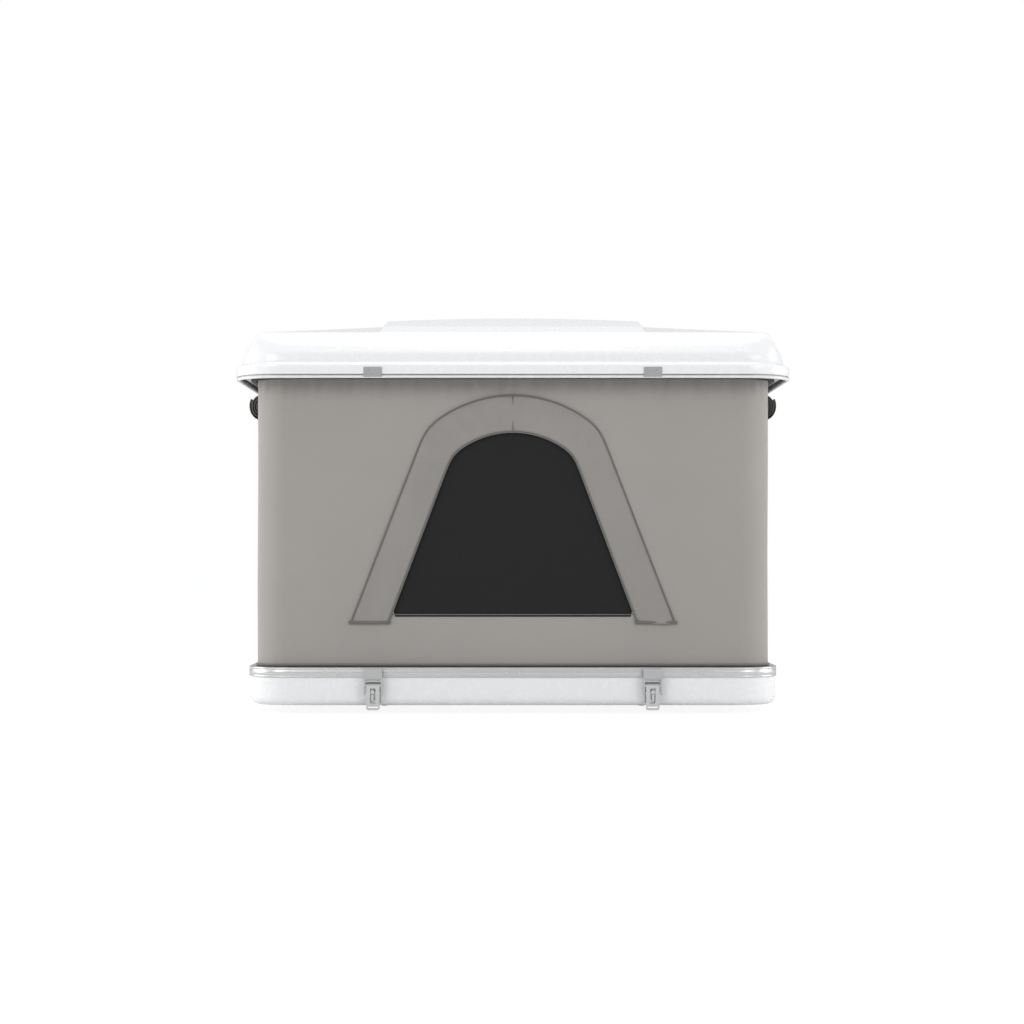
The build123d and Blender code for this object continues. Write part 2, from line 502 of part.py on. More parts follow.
def latch_lever():
    """Lever on the plate's pin, slotted over the staple, with the link pins on its edges."""
    face = LATCH_PIVOT.X - LATCH_BARREL_DIA / 2
    near, far = latch_span(LEVER_WIDTH)
    with BuildPart() as lever:
        pin(LATCH_PIVOT, LATCH_BARREL_DIA, near, far)
        with BuildSketch(Plane.XZ.offset(-face - LEVER_THICK)):
            with Locations((LATCH_X, (LATCH_PIVOT.Y + LEVER_BOTTOM_Z) / 2)):
                RectangleRounded(LEVER_WIDTH, LATCH_PIVOT.Y - LEVER_BOTTOM_Z, 6)
            with Locations((LATCH_X, LATCH_PIVOT.Y - 10)):
                Rectangle(LEVER_WIDTH, 20)
        extrude(amount=LEVER_THICK)
        with BuildSketch(Plane.YZ.offset(near)):
            with Locations(LINK_PIN):
                Circle(5)
        extrude(amount=LEVER_WIDTH)
        with BuildSketch(Plane.XZ.offset(-face - 14)):
            with Locations((LATCH_X, SLOT_HIGH)):
                Rectangle(SLOT_ACROSS, SLOT_TALL)
            with Locations((LATCH_X, GRIP_Z)):
                SlotOverall(GRIP_LONG, GRIP_TALL)
        extrude(amount=20, mode=Mode.SUBTRACT)
        pin(LATCH_PIVOT, LATCH_PIN_DIA + 2 * PIN_GAP, near, far, mode=Mode.SUBTRACT)
        for start, end in ((near - LINK_PIN_OUT, near), (far, far + LINK_PIN_OUT)):
            pin(LINK_PIN, LATCH_PIN_DIA, start, end)
    return lever.part


def latch_claw():
    """Pulled hook: two links beside the lever and a plate that curls over at its top."""
    near, far = latch_span(LATCH_WIDTH)
    bar = Vector(LINK_PIN.X - 2, CLAW_BOTTOM_Z - 2)
    with BuildPart() as claw:
        for start in (near, far - LINK_THICK):
            with BuildSketch(Plane.YZ.offset(start)):
                link(LINK_PIN, bar, LINK_WIDE)
                with Locations(LINK_PIN):
                    Circle(LATCH_PIN_DIA / 2 + PIN_GAP, mode=Mode.SUBTRACT)
            extrude(amount=LINK_THICK)
        pin(bar, LINK_WIDE, near, far)
        with BuildSketch(Plane.YZ.offset(near)):
            with Locations((bar.X - 1, (bar.Y + CLAW_TOP_Z) / 2)):
                Rectangle(CLAW_PLATE, CLAW_TOP_Z - bar.Y)
            with Locations((bar.X + 5, CLAW_TOP_Z - CLAW_PLATE / 2)):
                Rectangle(CLAW_HOOK, CLAW_PLATE)
        extrude(amount=LATCH_WIDTH)
    return claw.part


# ---------------------------------------------------------------- lid
def lofted(sections, thinner):
    """Solid through rounded rectangles, each moved in and down by a wall's thickness."""
    with BuildPart() as body:
        for half_width, half_length, corner, height in sections:
            with BuildSketch(Plane.XY.offset(LIP_TOP + height - thinner)):
                RectangleRounded(2 * (half_width - thinner), 2 * (half_length - thinner), corner - thinner)
        loft(ruled=True)
    return body.part


def lid_shell():
    """Moulded lid: a lip band, a stepped-in body, a sloping roof and a raised middle panel."""
    with BuildPart() as lid:
        add(slab(LID_WIDTH, LID_LENGTH, LID_CORNER, LIP_BOTTOM, LIP_HEIGHT))
        add(lofted(LID_BODY, 0))
        add(lofted(LID_PANEL, 0))
        add(slab(LID_WIDTH - 2 * SHELL_WALL, LID_LENGTH - 2 * SHELL_WALL, LID_CORNER - SHELL_WALL,
                 LIP_BOTTOM, LIP_HEIGHT - SHELL_WALL), mode=Mode.SUBTRACT)
        add(lofted(LID_BODY, SHELL_WALL), mode=Mode.SUBTRACT)
        add(lofted(LID_PANEL, SHELL_WALL), mode=Mode.SUBTRACT)
    return lid.part


def lid_liner():
    """Quilted dark liner, held just under the roof."""
    roof = LID_BODY[2:]
    with BuildPart() as liner:
        add(lofted(roof, SHELL_WALL + 0.8))
        add(lofted(roof, SHELL_WALL + 5.8), mode=Mode.SUBTRACT)
    return liner.part


def lid_trim():
    """Round trim along the lower edge of the lid's lip."""
    with BuildPart() as trim:
        add(ring(LID_WIDTH, LID_LENGTH, LID_CORNER, TRIM_HEIGHT + 1, TRIM_BOTTOM, TRIM_HEIGHT))
        fillet(trim.faces().sort_by(Axis.Z)[0].edges(), 5)
    return trim.part


def lid_frame():
    """Aluminium channel inside the lid that carries the brackets and the fabric's top edge."""
    with BuildPart() as frame:
        wide = FRAME_OUT - FRAME_IN
        corner = TENT_CORNER + wide
        width, length = 2 * FRAME_OUT, TENT_LENGTH + 2 * (wide + SEAT_GAP)
        add(ring(width, length, corner, wide, FRAME_BOTTOM, FRAME_TOP - FRAME_BOTTOM))
        add(ring(width - 2 * FRAME_WALL, length - 2 * FRAME_WALL, corner - FRAME_WALL, wide - 2 * FRAME_WALL,
                 FRAME_BOTTOM + FRAME_WALL, FRAME_TOP - FRAME_BOTTOM - FRAME_WALL), mode=Mode.SUBTRACT)
    return frame.part


def lid_seal():
    """Rubber seal under the lid's frame, which meets the rim when the tent is shut."""
    seat_width, seat_length, wide = RIM_WIDTH - 12, RIM_LENGTH - 12, 12.0
    bottom = TRIM_BOTTOM + SEAT_GAP
    return ring(seat_width, seat_length, RIM_CORNER - 6, wide, bottom, FRAME_BOTTOM - SEAT_GAP - bottom)


def keepers():
    """Hooked keeper plates on the lid's lip, over each latch, with two rivets each."""
    face = -LID_LENGTH / 2
    top = LIP_BOTTOM + 20
    with BuildPart() as plates:
        with BuildSketch(Plane.XZ.offset(-face)):
            with Locations((LATCH_X, top - KEEPER_HEIGHT / 2)):
                RectangleRounded(KEEPER_WIDTH, KEEPER_HEIGHT, 2)
        extrude(amount=KEEPER_THICK)
        with BuildSketch(Plane.XZ.offset(-face + KEEPER_THICK)):
            with Locations((LATCH_X, top - KEEPER_HEIGHT + KEEPER_HOOK / 2)):
                RectangleRounded(KEEPER_WIDTH - 4, KEEPER_HOOK, 2)
        extrude(amount=4)
        with BuildSketch(Plane.XZ.offset(-face + KEEPER_THICK)):
            with Locations((LATCH_X, top - 7)):
                with GridLocations(26, 0, 2, 1):
                    Circle(RIVET_HEAD_DIA / 2)
        extrude(amount=RIVET_HEAD, taper=25)
    return plates.part


# ---------------------------------------------------------------- fabric
WALL_BOTTOM = RIM_TOP + SEAT_GAP
WALL_TOP = FRAME_TOP - 4
END_FACE = TENT_LENGTH / 2
SIDE_FACE = TENT_WIDTH / 2


def fabric_wall():
    """Fabric wall round the tent, with the end windows and side doors cut out."""
    with BuildPart() as wall:
        add(ring(TENT_WIDTH, TENT_LENGTH, TENT_CORNER, FABRIC, WALL_BOTTOM, WALL_TOP - WALL_BOTTOM))
        with BuildSketch(Plane.XZ):
            arch(WINDOW_FOOT, WINDOW_FOOT_Z, WINDOW_SHOULDER, WINDOW_SHOULDER_Z, WINDOW_TOP_Z)
        extrude(amount=TENT_LENGTH, both=True, mode=Mode.SUBTRACT)
        with BuildSketch(Plane.YZ):
            arch(DOOR_FOOT, WINDOW_FOOT_Z, DOOR_SHOULDER, DOOR_SHOULDER_Z, DOOR_TOP_Z)
        extrude(amount=TENT_WIDTH, both=True, mode=Mode.SUBTRACT)
    return wall.part


def window_band():
    """Broad fabric band sewn round the front window, with a hem at each foot."""
    with BuildPart() as band:
        with BuildSketch(Plane.XZ.offset(END_FACE + SEAT_GAP)):
            arch(BAND_FOOT, WINDOW_FOOT_Z - BAND_HEM_DROP, BAND_SHOULDER, BAND_SHOULDER_Z, BAND_TOP_Z)
            lean = (WINDOW_FOOT - WINDOW_SHOULDER) / (WINDOW_SHOULDER_Z - WINDOW_FOOT_Z)
            foot = WINDOW_FOOT + BAND_HEM_DROP * lean
            arch(foot, WINDOW_FOOT_Z - BAND_HEM_DROP, WINDOW_SHOULDER, WINDOW_SHOULDER_Z, WINDOW_TOP_Z,
                 mode=Mode.SUBTRACT)
        extrude(amount=BAND_THICK)
    return band.part


def window_mesh():
    """Insect mesh in the front window."""
    gap = SEAT_GAP
    with BuildPart() as mesh:
        with BuildSketch(Plane.XZ.offset(END_FACE - FABRIC / 2)):
            arch(WINDOW_FOOT - gap, WINDOW_FOOT_Z + gap, WINDOW_SHOULDER - gap, WINDOW_SHOULDER_Z - gap,
                 WINDOW_TOP_Z - gap)
        extrude(amount=MESH_THICK)
    return mesh.part


def door_mesh():
    """Insect mesh in the right-hand door."""
    gap = SEAT_GAP
    with BuildPart() as mesh:
        with BuildSketch(Plane.YZ.offset(SIDE_FACE - FABRIC / 2)):
            arch(DOOR_FOOT - gap, WINDOW_FOOT_Z + gap, DOOR_SHOULDER - gap, DOOR_SHOULDER_Z - gap,
                 DOOR_TOP_Z - gap)
        extrude(amount=MESH_THICK)
    return mesh.part


ROLL_X = SIDE_FACE + STRAP_THICK + 2 * SEAT_GAP + ROLL_WIDE / 2


def door_roll():
    """Rolled-up cover of the right-hand door, under the lid's overhang."""
    with BuildPart() as roll:
        with BuildSketch(Plane.XZ.offset(-ROLL_LENGTH / 2)):
            with Locations((ROLL_X, ROLL_Z)):
                Ellipse(ROLL_WIDE / 2, ROLL_TALL / 2)
        extrude(amount=ROLL_LENGTH)
    return roll.part


def roll_straps():
    """Straps round both rolls."""
    with BuildPart() as straps:
        for side in SIDES.values():
            for end in ENDS.values():
                with BuildSketch(Plane.XZ.offset(-end * STRAP_Y - STRAP_WIDE / 2)):
                    with Locations((side * ROLL_X, ROLL_Z)):
                        Ellipse(ROLL_WIDE / 2 + SEAT_GAP + STRAP_THICK, ROLL_TALL / 2 + SEAT_GAP + STRAP_THICK)
                        Ellipse(ROLL_WIDE / 2 + SEAT_GAP, ROLL_TALL / 2 + SEAT_GAP, mode=Mode.SUBTRACT)
                extrude(amount=STRAP_WIDE)
    return straps.part


# ---------------------------------------------------------------- build and write
save(base_shell(), "base_shell")
save(rim_profile(), "rim_profile")
save(rim_rivets(), "rim_rivets")
save(mattress(), "mattress")
save(rail_screws(), "rail_screws")
for side_name, side in SIDES.items():
    save(Pos(side * RAIL_SPACING / 2, 0, 0) * mounting_rail(), f"mounting_rail_{side_name}")
    save(mirrored(door_mesh(), side, -1), f"door_mesh_{side_name}")
    save(mirrored(door_roll(), side, -1), f"door_roll_{side_name}")

save_corners(base_bracket(), "base_bracket")
save_corners(lower_arm(), "lower_arm")
save_corners(upper_arm(), "upper_arm")
save_corners(lid_bracket(), "lid_bracket")
save_corners(strut_cylinder(), "strut_cylinder")
save_corners(strut_rod(), "strut_rod")
save_corners(latch_plate(), "latch_plate")
save_corners(latch_lever(), "latch_lever")
save_corners(latch_claw(), "latch_claw")

save(lid_shell(), "lid_shell")
save(lid_liner(), "lid_liner")
save(lid_trim(), "lid_trim")
save(lid_frame(), "lid_frame")
save(lid_seal(), "lid_seal")
for end_name, end in ENDS.items():
    with BuildPart() as pair:
        for side in SIDES.values():
            add(mirrored(keepers(), side, end))
    save(pair.part, f"keepers_{end_name}")
    save(mirrored(window_band(), 1, end), f"window_band_{end_name}")
    save(mirrored(window_mesh(), 1, end), f"window_mesh_{end_name}")

save(fabric_wall(), "fabric_wall")
save(roll_straps(), "roll_straps")
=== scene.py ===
"""Hard-shell pop-up roof tent, raised: the visible pieces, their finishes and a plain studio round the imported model."""
import json
import math

import bmesh
import bpy
import numpy as np
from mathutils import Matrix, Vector


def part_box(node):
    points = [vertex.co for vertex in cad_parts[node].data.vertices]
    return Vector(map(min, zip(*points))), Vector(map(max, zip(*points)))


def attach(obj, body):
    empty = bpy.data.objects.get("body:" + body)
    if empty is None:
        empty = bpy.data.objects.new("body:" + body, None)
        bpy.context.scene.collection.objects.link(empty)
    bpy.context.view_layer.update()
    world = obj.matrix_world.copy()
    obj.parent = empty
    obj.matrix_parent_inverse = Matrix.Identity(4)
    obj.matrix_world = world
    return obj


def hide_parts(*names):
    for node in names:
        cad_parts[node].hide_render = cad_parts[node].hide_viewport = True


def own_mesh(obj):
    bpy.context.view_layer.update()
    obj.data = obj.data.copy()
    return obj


bl_info = {
    "name": "Pop-up roof tent",
    "version": (1, 0, 0),
    "blender": (4, 5, 0),
    "location": "3D View > Sidebar > Roof tent",
    "description": "Moulded lid, fabric walls, windows, rolled doors, hardware finishes and a studio for a pop-up roof tent",
    "category": "Object",
}

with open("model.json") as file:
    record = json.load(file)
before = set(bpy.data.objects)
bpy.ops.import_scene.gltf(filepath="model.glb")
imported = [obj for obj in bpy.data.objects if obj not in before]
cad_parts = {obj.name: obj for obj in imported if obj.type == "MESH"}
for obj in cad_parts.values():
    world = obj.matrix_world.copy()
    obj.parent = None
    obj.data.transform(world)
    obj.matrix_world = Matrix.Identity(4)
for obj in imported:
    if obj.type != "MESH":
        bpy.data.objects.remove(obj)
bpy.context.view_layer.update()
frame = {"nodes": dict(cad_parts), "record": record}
RECORD = frame["record"]
CORNERS = ("front_left", "front_right", "rear_left", "rear_right")


# ---------------------------------------------------------------- places read from the frame
def half_size(node):
    """Half width, half length, lowest and highest z of a node, in metres."""
    low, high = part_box(node)
    return (high.x - low.x) / 2, (high.y - low.y) / 2, low.z, high.z


LID_X, LID_Y, LIP_BOTTOM, CROWN = half_size("lid_shell")
RIM_X, RIM_Y, RIM_BOTTOM, RIM_TOP = half_size("rim_profile")
WALL_X, WALL_Y, WALL_BOTTOM, WALL_TOP = half_size("fabric_wall")
TRIM_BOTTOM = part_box("lid_trim")[0].z
LIP_TOP = LIP_BOTTOM + 0.031
LID_CORNER, RIM_CORNER, WALL_CORNER = 0.130, 0.120, 0.090
FLOOR_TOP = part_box("mattress")[0].z
HEM_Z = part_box("window_mesh_front")[0].z


# ---------------------------------------------------------------- sizes and colours a user may change
def shade(default, name, description):
    return bpy.props.FloatVectorProperty(name=name, description=description, default=default, size=3,
                                         subtype="COLOR", min=0.0, max=1.0)


def length(default, name, description, low=0.0, high=1.0):
    return bpy.props.FloatProperty(name=name, description=description, default=default, min=low, max=high,
                                   unit="LENGTH", subtype="DISTANCE", precision=4)


class TentColours(bpy.types.PropertyGroup):
    shell: shade((0.715, 0.718, 0.721), "Shell", "Moulded lid and base tray")
    trim: shade((0.66, 0.66, 0.66), "Lip trim", "Round trim along the lid's lower edge")
    rim: shade((0.56, 0.555, 0.55), "Rim", "Aluminium rim, frame and rails")
    wall: shade((0.330, 0.313, 0.294), "Wall fabric", "Coated canvas of the walls and door covers")
    band: shade((0.276, 0.262, 0.246), "Band fabric", "Fabric sewn round the windows")
    binding: shade((0.150, 0.141, 0.132), "Binding", "Piping, hems and stitching")
    mesh: shade((0.0150, 0.0150, 0.0155), "Insect mesh", "Mesh in the windows and doors")
    webbing: shade((0.020, 0.020, 0.021), "Webbing", "Straps round the rolled doors")
    steel: shade((0.56, 0.56, 0.56), "Latch steel", "Latches and keepers")
    bracket: shade((0.045, 0.046, 0.050), "Brackets", "Powder coated brackets and strut tubes")
    liner: shade((0.030, 0.030, 0.033), "Liner", "Quilted lining under the roof")
    mattress: shade((0.130, 0.132, 0.138), "Mattress", "Mattress cover")


class TentSizes(bpy.types.PropertyGroup):
    shoulder_round: length(0.009, "Shoulder round", "How softly the lid's shoulders are rounded", 0.002, 0.03)
    panel_round: length(0.0035, "Panel round", "How softly the raised panel's step is rounded", 0.001, 0.02)
    shell_wall: length(0.004, "Shell wall", "Thickness of the moulded lid", 0.002, 0.01)
    cloth: length(0.0016, "Cloth", "Thickness of the wall fabric", 0.0005, 0.004)
    pucker: length(0.0060, "Pucker depth", "Depth of the gathers under the lid", 0.0, 0.01)
    pucker_long: length(0.075, "Pucker length", "How far the gathers run down the wall", 0.01, 0.3)
    piping: length(0.0026, "Piping", "Radius of the piping along seams", 0.001, 0.006)
    quilt: length(0.11, "Quilting", "Pitch of the liner's quilting", 0.03, 0.4)


# ---------------------------------------------------------------- meshes from arrays
def surface(name, vertices, faces, uv=None, weld=0.0):
    """Mesh object from arrays. Faces are rows of corner numbers; uv holds one pair for each vertex."""
    mesh = bpy.data.meshes.new(name)
    mesh.from_pydata(np.asarray(vertices, float).reshape(-1, 3).tolist(), [], np.asarray(faces, int).tolist())
    if uv is not None:
        layer = mesh.uv_layers.new(name="cloth")
        corner = np.zeros(len(mesh.loops), dtype=np.int32)
        mesh.loops.foreach_get("vertex_index", corner)
        layer.data.foreach_set("uv", np.asarray(uv, np.float32).reshape(-1, 2)[corner].ravel())
    if weld:
        work = bmesh.new()
        work.from_mesh(mesh)
        bmesh.ops.remove_doubles(work, verts=work.verts, dist=weld)
        work.to_mesh(mesh)
        work.free()
    mesh.shade_smooth()
    piece = bpy.data.objects.new(name, mesh)
    bpy.context.scene.collection.objects.link(piece)
    return piece


def quads(rows, columns, wrap_rows=False, wrap_columns=False, start=0, turn=False):
    """Quads of a grid of points: cell (i, j) joins its four corners, and wrapping closes a direction."""
    i = np.arange(rows if wrap_rows else rows - 1)[:, None]
    j = np.arange(columns if wrap_columns else columns - 1)[None, :]
    here, right = i * columns + j, i * columns + (j + 1) % columns
    up, across = ((i + 1) % rows) * columns + j, ((i + 1) % rows) * columns + (j + 1) % columns
    order = (here, up, across, right) if turn else (here, right, across, up)
    return np.stack(order, axis=-1).reshape(-1, 4) + start


def rounded_path(half_x, half_y, corner, spacing, corner_steps=14):
    """Anticlockwise path round a rounded rectangle from its right side: straight runs at about the given
    spacing and quarter circles. Returns points, outward normals and the distance along, all as arrays."""
    def run(start, end):
        count = max(2, int(round(np.linalg.norm(end - start) / spacing)) + 1)
        return start + (end - start) * np.linspace(0, 1, count)[:-1, None]
    points, normals = [], []
    turns = ((1, 1, 0.0), (-1, 1, 0.5), (-1, -1, 1.0), (1, -1, 1.5))
    inner = [np.array([sx * (half_x - corner), sy * (half_y - corner)]) for sx, sy, _ in turns]
    for k, (sx, sy, quarter) in enumerate(turns):
        angle = np.pi * (quarter + 0.5 * np.linspace(0, 1, corner_steps + 1))
        out = np.stack([np.cos(angle), np.sin(angle)], axis=1)
        arc = inner[k] + corner * out
        points.append(arc[:-1])
        normals.append(out[:-1])
        following = inner[(k + 1) % 4] + corner * out[-1]
        straight = run(arc[-1], following)
        points.append(straight)
        normals.append(np.repeat(out[-1:], len(straight), axis=0))
    points, normals = np.concatenate(points), np.concatenate(normals)
    step = np.linalg.norm(np.roll(points, -1, axis=0) - points, axis=1)
    return points, normals, np.concatenate([[0.0], np.cumsum(step)[:-1]])


def swept_round(name, half_x, half_y, corner, outline, spacing=0.06):
    """Closed profile of (outward offset, z) points carried round a rounded rectangle: each profile point is the
    path's point plus its normal times the offset."""
    points, normals, _ = rounded_path(half_x, half_y, corner, spacing)
    outline = np.asarray(outline, float)
    place = points[:, None, :] + normals[:, None, :] * outline[None, :, :1]
    grid = np.concatenate([place, np.broadcast_to(outline[None, :, 1:], place.shape[:2] + (1,))], axis=2)
    piece = surface(name, grid, quads(len(points), len(outline), True, True))
    return outward(piece)


def outward(piece):
    """Recalculates a closed mesh's normals so that its faces point outwards."""
    work = bmesh.new()
    work.from_mesh(piece.data)
    bmesh.ops.recalc_face_normals(work, faces=work.faces)
    work.to_mesh(piece.data)
    work.free()
    return piece


def tube(name, path, radius, sides=8, closed=False, flat=1.0):
    """Round section carried along a path: each ring is the path's point plus the radius times two vectors square
    to the path. Open ends are closed with domes that shrink to a point."""
    path = np.asarray(path, float)
    ahead = np.roll(path, -1, axis=0) - np.roll(path, 1, axis=0)
    if not closed:
        ahead[0], ahead[-1] = path[1] - path[0], path[-1] - path[-2]
    ahead /= np.linalg.norm(ahead, axis=1)[:, None]
    spread = np.ptp(path, axis=0)
    square = np.eye(3)[int(np.argmin(spread))]
    first = np.cross(ahead, square)
    first /= np.linalg.norm(first, axis=1)[:, None]
    second = np.cross(ahead, first)
    size = np.full(len(path), radius)
    if not closed:
        path = np.concatenate([path[:1] - ahead[:1] * radius * 0.7, path, path[-1:] + ahead[-1:] * radius * 0.7])
        first, second = (np.concatenate([v[:1], v, v[-1:]]) for v in (first, second))
        size = np.concatenate([[radius * 0.04], size, [radius * 0.04]])
    angle = np.linspace(0, 2 * np.pi, sides, endpoint=False)
    ring = (np.cos(angle)[None, :, None] * first[:, None] + flat * np.sin(angle)[None, :, None] * second[:, None])
    grid = path[:, None, :] + size[:, None, None] * ring
    count = len(path)
    faces = quads(count, sides, closed, True)
    piece = surface(name, grid, faces)
    if not closed:
        work = bmesh.new()
        work.from_mesh(piece.data)
        work.verts.ensure_lookup_table()
        for start in (0, (count - 1) * sides):
            work.faces.new([work.verts[start + k] for k in range(sides)])
        work.to_mesh(piece.data)
        work.free()
        piece.data.shade_smooth()
    return outward(piece)


def softened(line, spread, step=0.001):
    """A polyline of (position, height) made smooth: it is sampled evenly along its length, and each sample becomes
    the mean of its neighbours under a bell curve of the given spread."""
    line = np.asarray(line, float)
    run = np.concatenate([[0], np.cumsum(np.linalg.norm(np.diff(line, axis=0), axis=1))])
    at = np.arange(0, run[-1] + step, step)
    even = np.stack([np.interp(at, run, line[:, k]) for k in range(2)], axis=1)
    reach = int(3 * spread / step) + 1
    bell = np.exp(-0.5 * (np.arange(-reach, reach + 1) * step / spread) ** 2)
    bell /= bell.sum()
    start = 2 * even[0] - even[1:reach + 1][::-1]
    end = 2 * even[-1] - even[-reach - 1:-1][::-1]
    padded = np.concatenate([start, even, end])
    return np.stack([np.convolve(padded[:, k], bell, mode="valid") for k in range(2)], axis=1)


def noise(points, scale, seed):
    """Smooth noise of about -1 to 1: the mean of sine waves in fixed random directions at one scale."""
    random = np.random.default_rng(seed)
    total = 0.0
    for _ in range(7):
        direction = random.normal(size=points.shape[-1])
        direction /= np.linalg.norm(direction)
        wave = scale * random.uniform(0.6, 1.6)
        total = total + np.sin(points @ direction * (2 * np.pi / wave) + random.uniform(0, 2 * np.pi))
    return total / 3.2


def smaller(a, b, soft):
    """Smaller of two heights with the crease rounded: the polynomial blend over a range of soft."""
    mix = np.clip(0.5 + 0.5 * (b - a) / soft, 0, 1)
    return b * (1 - mix) + a * mix - soft * mix * (1 - mix)


def larger(a, b, soft):
    """Larger of two heights with the corner filled: the mirror of smaller."""
    return -smaller(-a, -b, soft)


# ---------------------------------------------------------------- node materials
class Wire:
    """One output socket with arithmetic: + - * / build Math nodes for numbers."""

    def __init__(self, kit, socket):
        self.kit, self.socket = kit, socket

    def _math(self, operation, first, second):
        return self.kit.node("ShaderNodeMath", {"operation": operation}, {0: first, 1: second})

    def __add__(self, other):
        return self._math("ADD", self, other)

    def __radd__(self, other):
        return self._math("ADD", other, self)

    def __sub__(self, other):
        return self._math("SUBTRACT", self, other)

    def __rsub__(self, other):
        return self._math("SUBTRACT", other, self)

    def __mul__(self, other):
        return self._math("MULTIPLY", self, other)

    def __rmul__(self, other):
        return self._math("MULTIPLY", other, self)

    def __truediv__(self, other):
        return self._math("DIVIDE", self, other)

    def __rtruediv__(self, other):
        return self._math("DIVIDE", other, self)

    def above(self, edge):
        return self._math("GREATER_THAN", self, edge)


class Finish:
    """A material and its nodes. node() adds any node: its settings first, then its sockets' values or links."""

    def __init__(self, name, roughness=0.5, metallic=0.0, **constants):
        self.material = bpy.data.materials.new(name)
        self.material.use_nodes = True
        self.tree = self.material.node_tree
        self.shader = self.tree.nodes["Principled BSDF"]
        self.shader.inputs["Roughness"].default_value = roughness
        self.shader.inputs["Metallic"].default_value = metallic
        for socket, value in constants.items():
            self.shader.inputs[socket.replace("_", " ")].default_value = value

    def node(self, kind, settings=None, sockets=None, out=0):
        made = self.tree.nodes.new(kind)
        for key, value in (settings or {}).items():
            if key == "stops":
                ramp = made.color_ramp
                while len(ramp.elements) < len(value):
                    ramp.elements.new(0.5)
                for element, (place, colour) in zip(ramp.elements, value):
                    element.position, element.color = place, colour
            else:
                setattr(made, key, value)
        for key, value in (sockets or {}).items():
            if isinstance(value, Wire):
                self.tree.links.new(value.socket, made.inputs[key])
            else:
                made.inputs[key].default_value = value
        return Wire(self, made.outputs[out])

    def where(self):
        return self.node("ShaderNodeTexCoord", out="Object")

    def cloth(self):
        return self.node("ShaderNodeUVMap", {"uv_map": "cloth"})

    def moved(self, vector, scale=(1, 1, 1), rotation=(0, 0, 0)):
        return self.node("ShaderNodeMapping", None, {"Vector": vector, "Scale": scale, "Rotation": rotation})

    def clouds(self, vector, scale, detail=4.0, roughness=0.55):
        return self.node("ShaderNodeTexNoise", None, {"Vector": vector, "Scale": scale, "Detail": detail,
                                                      "Roughness": roughness})

    def ramp(self, value, *stops):
        return self.node("ShaderNodeValToRGB", {"stops": [(p, (v, v, v, 1)) for p, v in stops]}, {"Fac": value})

    def mixed(self, factor, first, second):
        def colour(c):
            return c if isinstance(c, Wire) else (*c, 1.0)
        made = self.tree.nodes.new("ShaderNodeMix")
        made.data_type = "RGBA"
        for key, value in ((0, factor), (6, colour(first)), (7, colour(second))):
            if isinstance(value, Wire):
                self.tree.links.new(value.socket, made.inputs[key])
            else:
                made.inputs[key].default_value = value
        return Wire(self, made.outputs[2])

    def weave(self, vector, threads):
        """Plain weave: two crossed sine waves, thread over thread, at that many threads a metre."""
        over = self.node("ShaderNodeTexWave", {"wave_type": "BANDS", "bands_direction": "X"},
                         {"Vector": vector, "Scale": threads / 20.0 * math.pi, "Distortion": 0.4})
        under = self.node("ShaderNodeTexWave", {"wave_type": "BANDS", "bands_direction": "Y"},
                          {"Vector": vector, "Scale": threads / 20.0 * math.pi, "Distortion": 0.4})
        return over * under

    def colour(self, value):
        if isinstance(value, Wire):
            self.tree.links.new(value.socket, self.shader.inputs["Base Color"])
        else:
            self.shader.inputs["Base Color"].default_value = (*value, 1.0)
        return self

    def rough(self, value):
        self.tree.links.new(value.socket, self.shader.inputs["Roughness"])
        return self

    def bump(self, height, distance, strength=1.0):
        raised = self.node("ShaderNodeBump", None, {"Height": height, "Distance": distance, "Strength": strength})
        self.tree.links.new(raised.socket, self.shader.inputs["Normal"])
        return self


def tone(colour, factor):
    return tuple(min(1.0, c * factor) for c in colour)


def moulded_plastic(name, colour):
    """Glossy moulded shell: faint flow marks and a film of dust that dulls it in patches."""
    made = Finish(name, roughness=0.28, **{"Coat_Weight": 0.25, "Coat_Roughness": 0.08})
    where = made.where()
    clouds = made.clouds(where, 2.5)
    dust = made.clouds(where, 38.0, 6.0)
    made.colour(made.mixed(clouds * 0.5, colour, tone(colour, 0.965)))
    made.rough(0.22 + dust * 0.10)
    return made.material


def satin_metal(name, colour, grain=(1, 1, 40), roughness=0.34, scale=60.0, depth=0.25):
    """Drawn or brushed metal: noise stretched along the grain in colour, roughness and bump, with soft smudges."""
    made = Finish(name, metallic=1.0)
    where = made.where()
    streaks = made.clouds(made.moved(where, grain), scale, 5.0, 0.7)
    smudge = made.clouds(where, 9.0)
    made.colour(made.mixed(streaks, tone(colour, 0.86), tone(colour, 1.10)))
    made.rough(roughness - 0.09 + streaks * 0.12 + smudge * 0.08)
    return made.bump(streaks, 0.0002, depth).material


def coated_metal(name, colour, roughness=0.45):
    """Powder coat: fine pebbled bump, with the colour worn a little paler in patches."""
    made = Finish(name, metallic=0.0)
    where = made.where()
    pebble = made.clouds(where, 900.0, 2.0)
    worn = made.ramp(made.clouds(where, 26.0, 8.0, 0.75), (0.62, 0.0), (0.74, 1.0))
    made.colour(made.mixed(worn * 0.35, colour, tone(colour, 2.2)))
    made.rough(roughness + pebble * 0.15)
    return made.bump(pebble, 0.0003, 0.35).material


def rubber(name, colour):
    """Dull rubber with a fine grain and a chalky bloom."""
    made = Finish(name)
    where = made.where()
    bloom = made.clouds(where, 14.0, 6.0)
    made.colour(made.mixed(bloom, colour, tone(colour, 1.9)))
    made.rough(0.62 + bloom * 0.2)
    return made.bump(made.clouds(where, 700.0, 2.0), 0.0002, 0.3).material


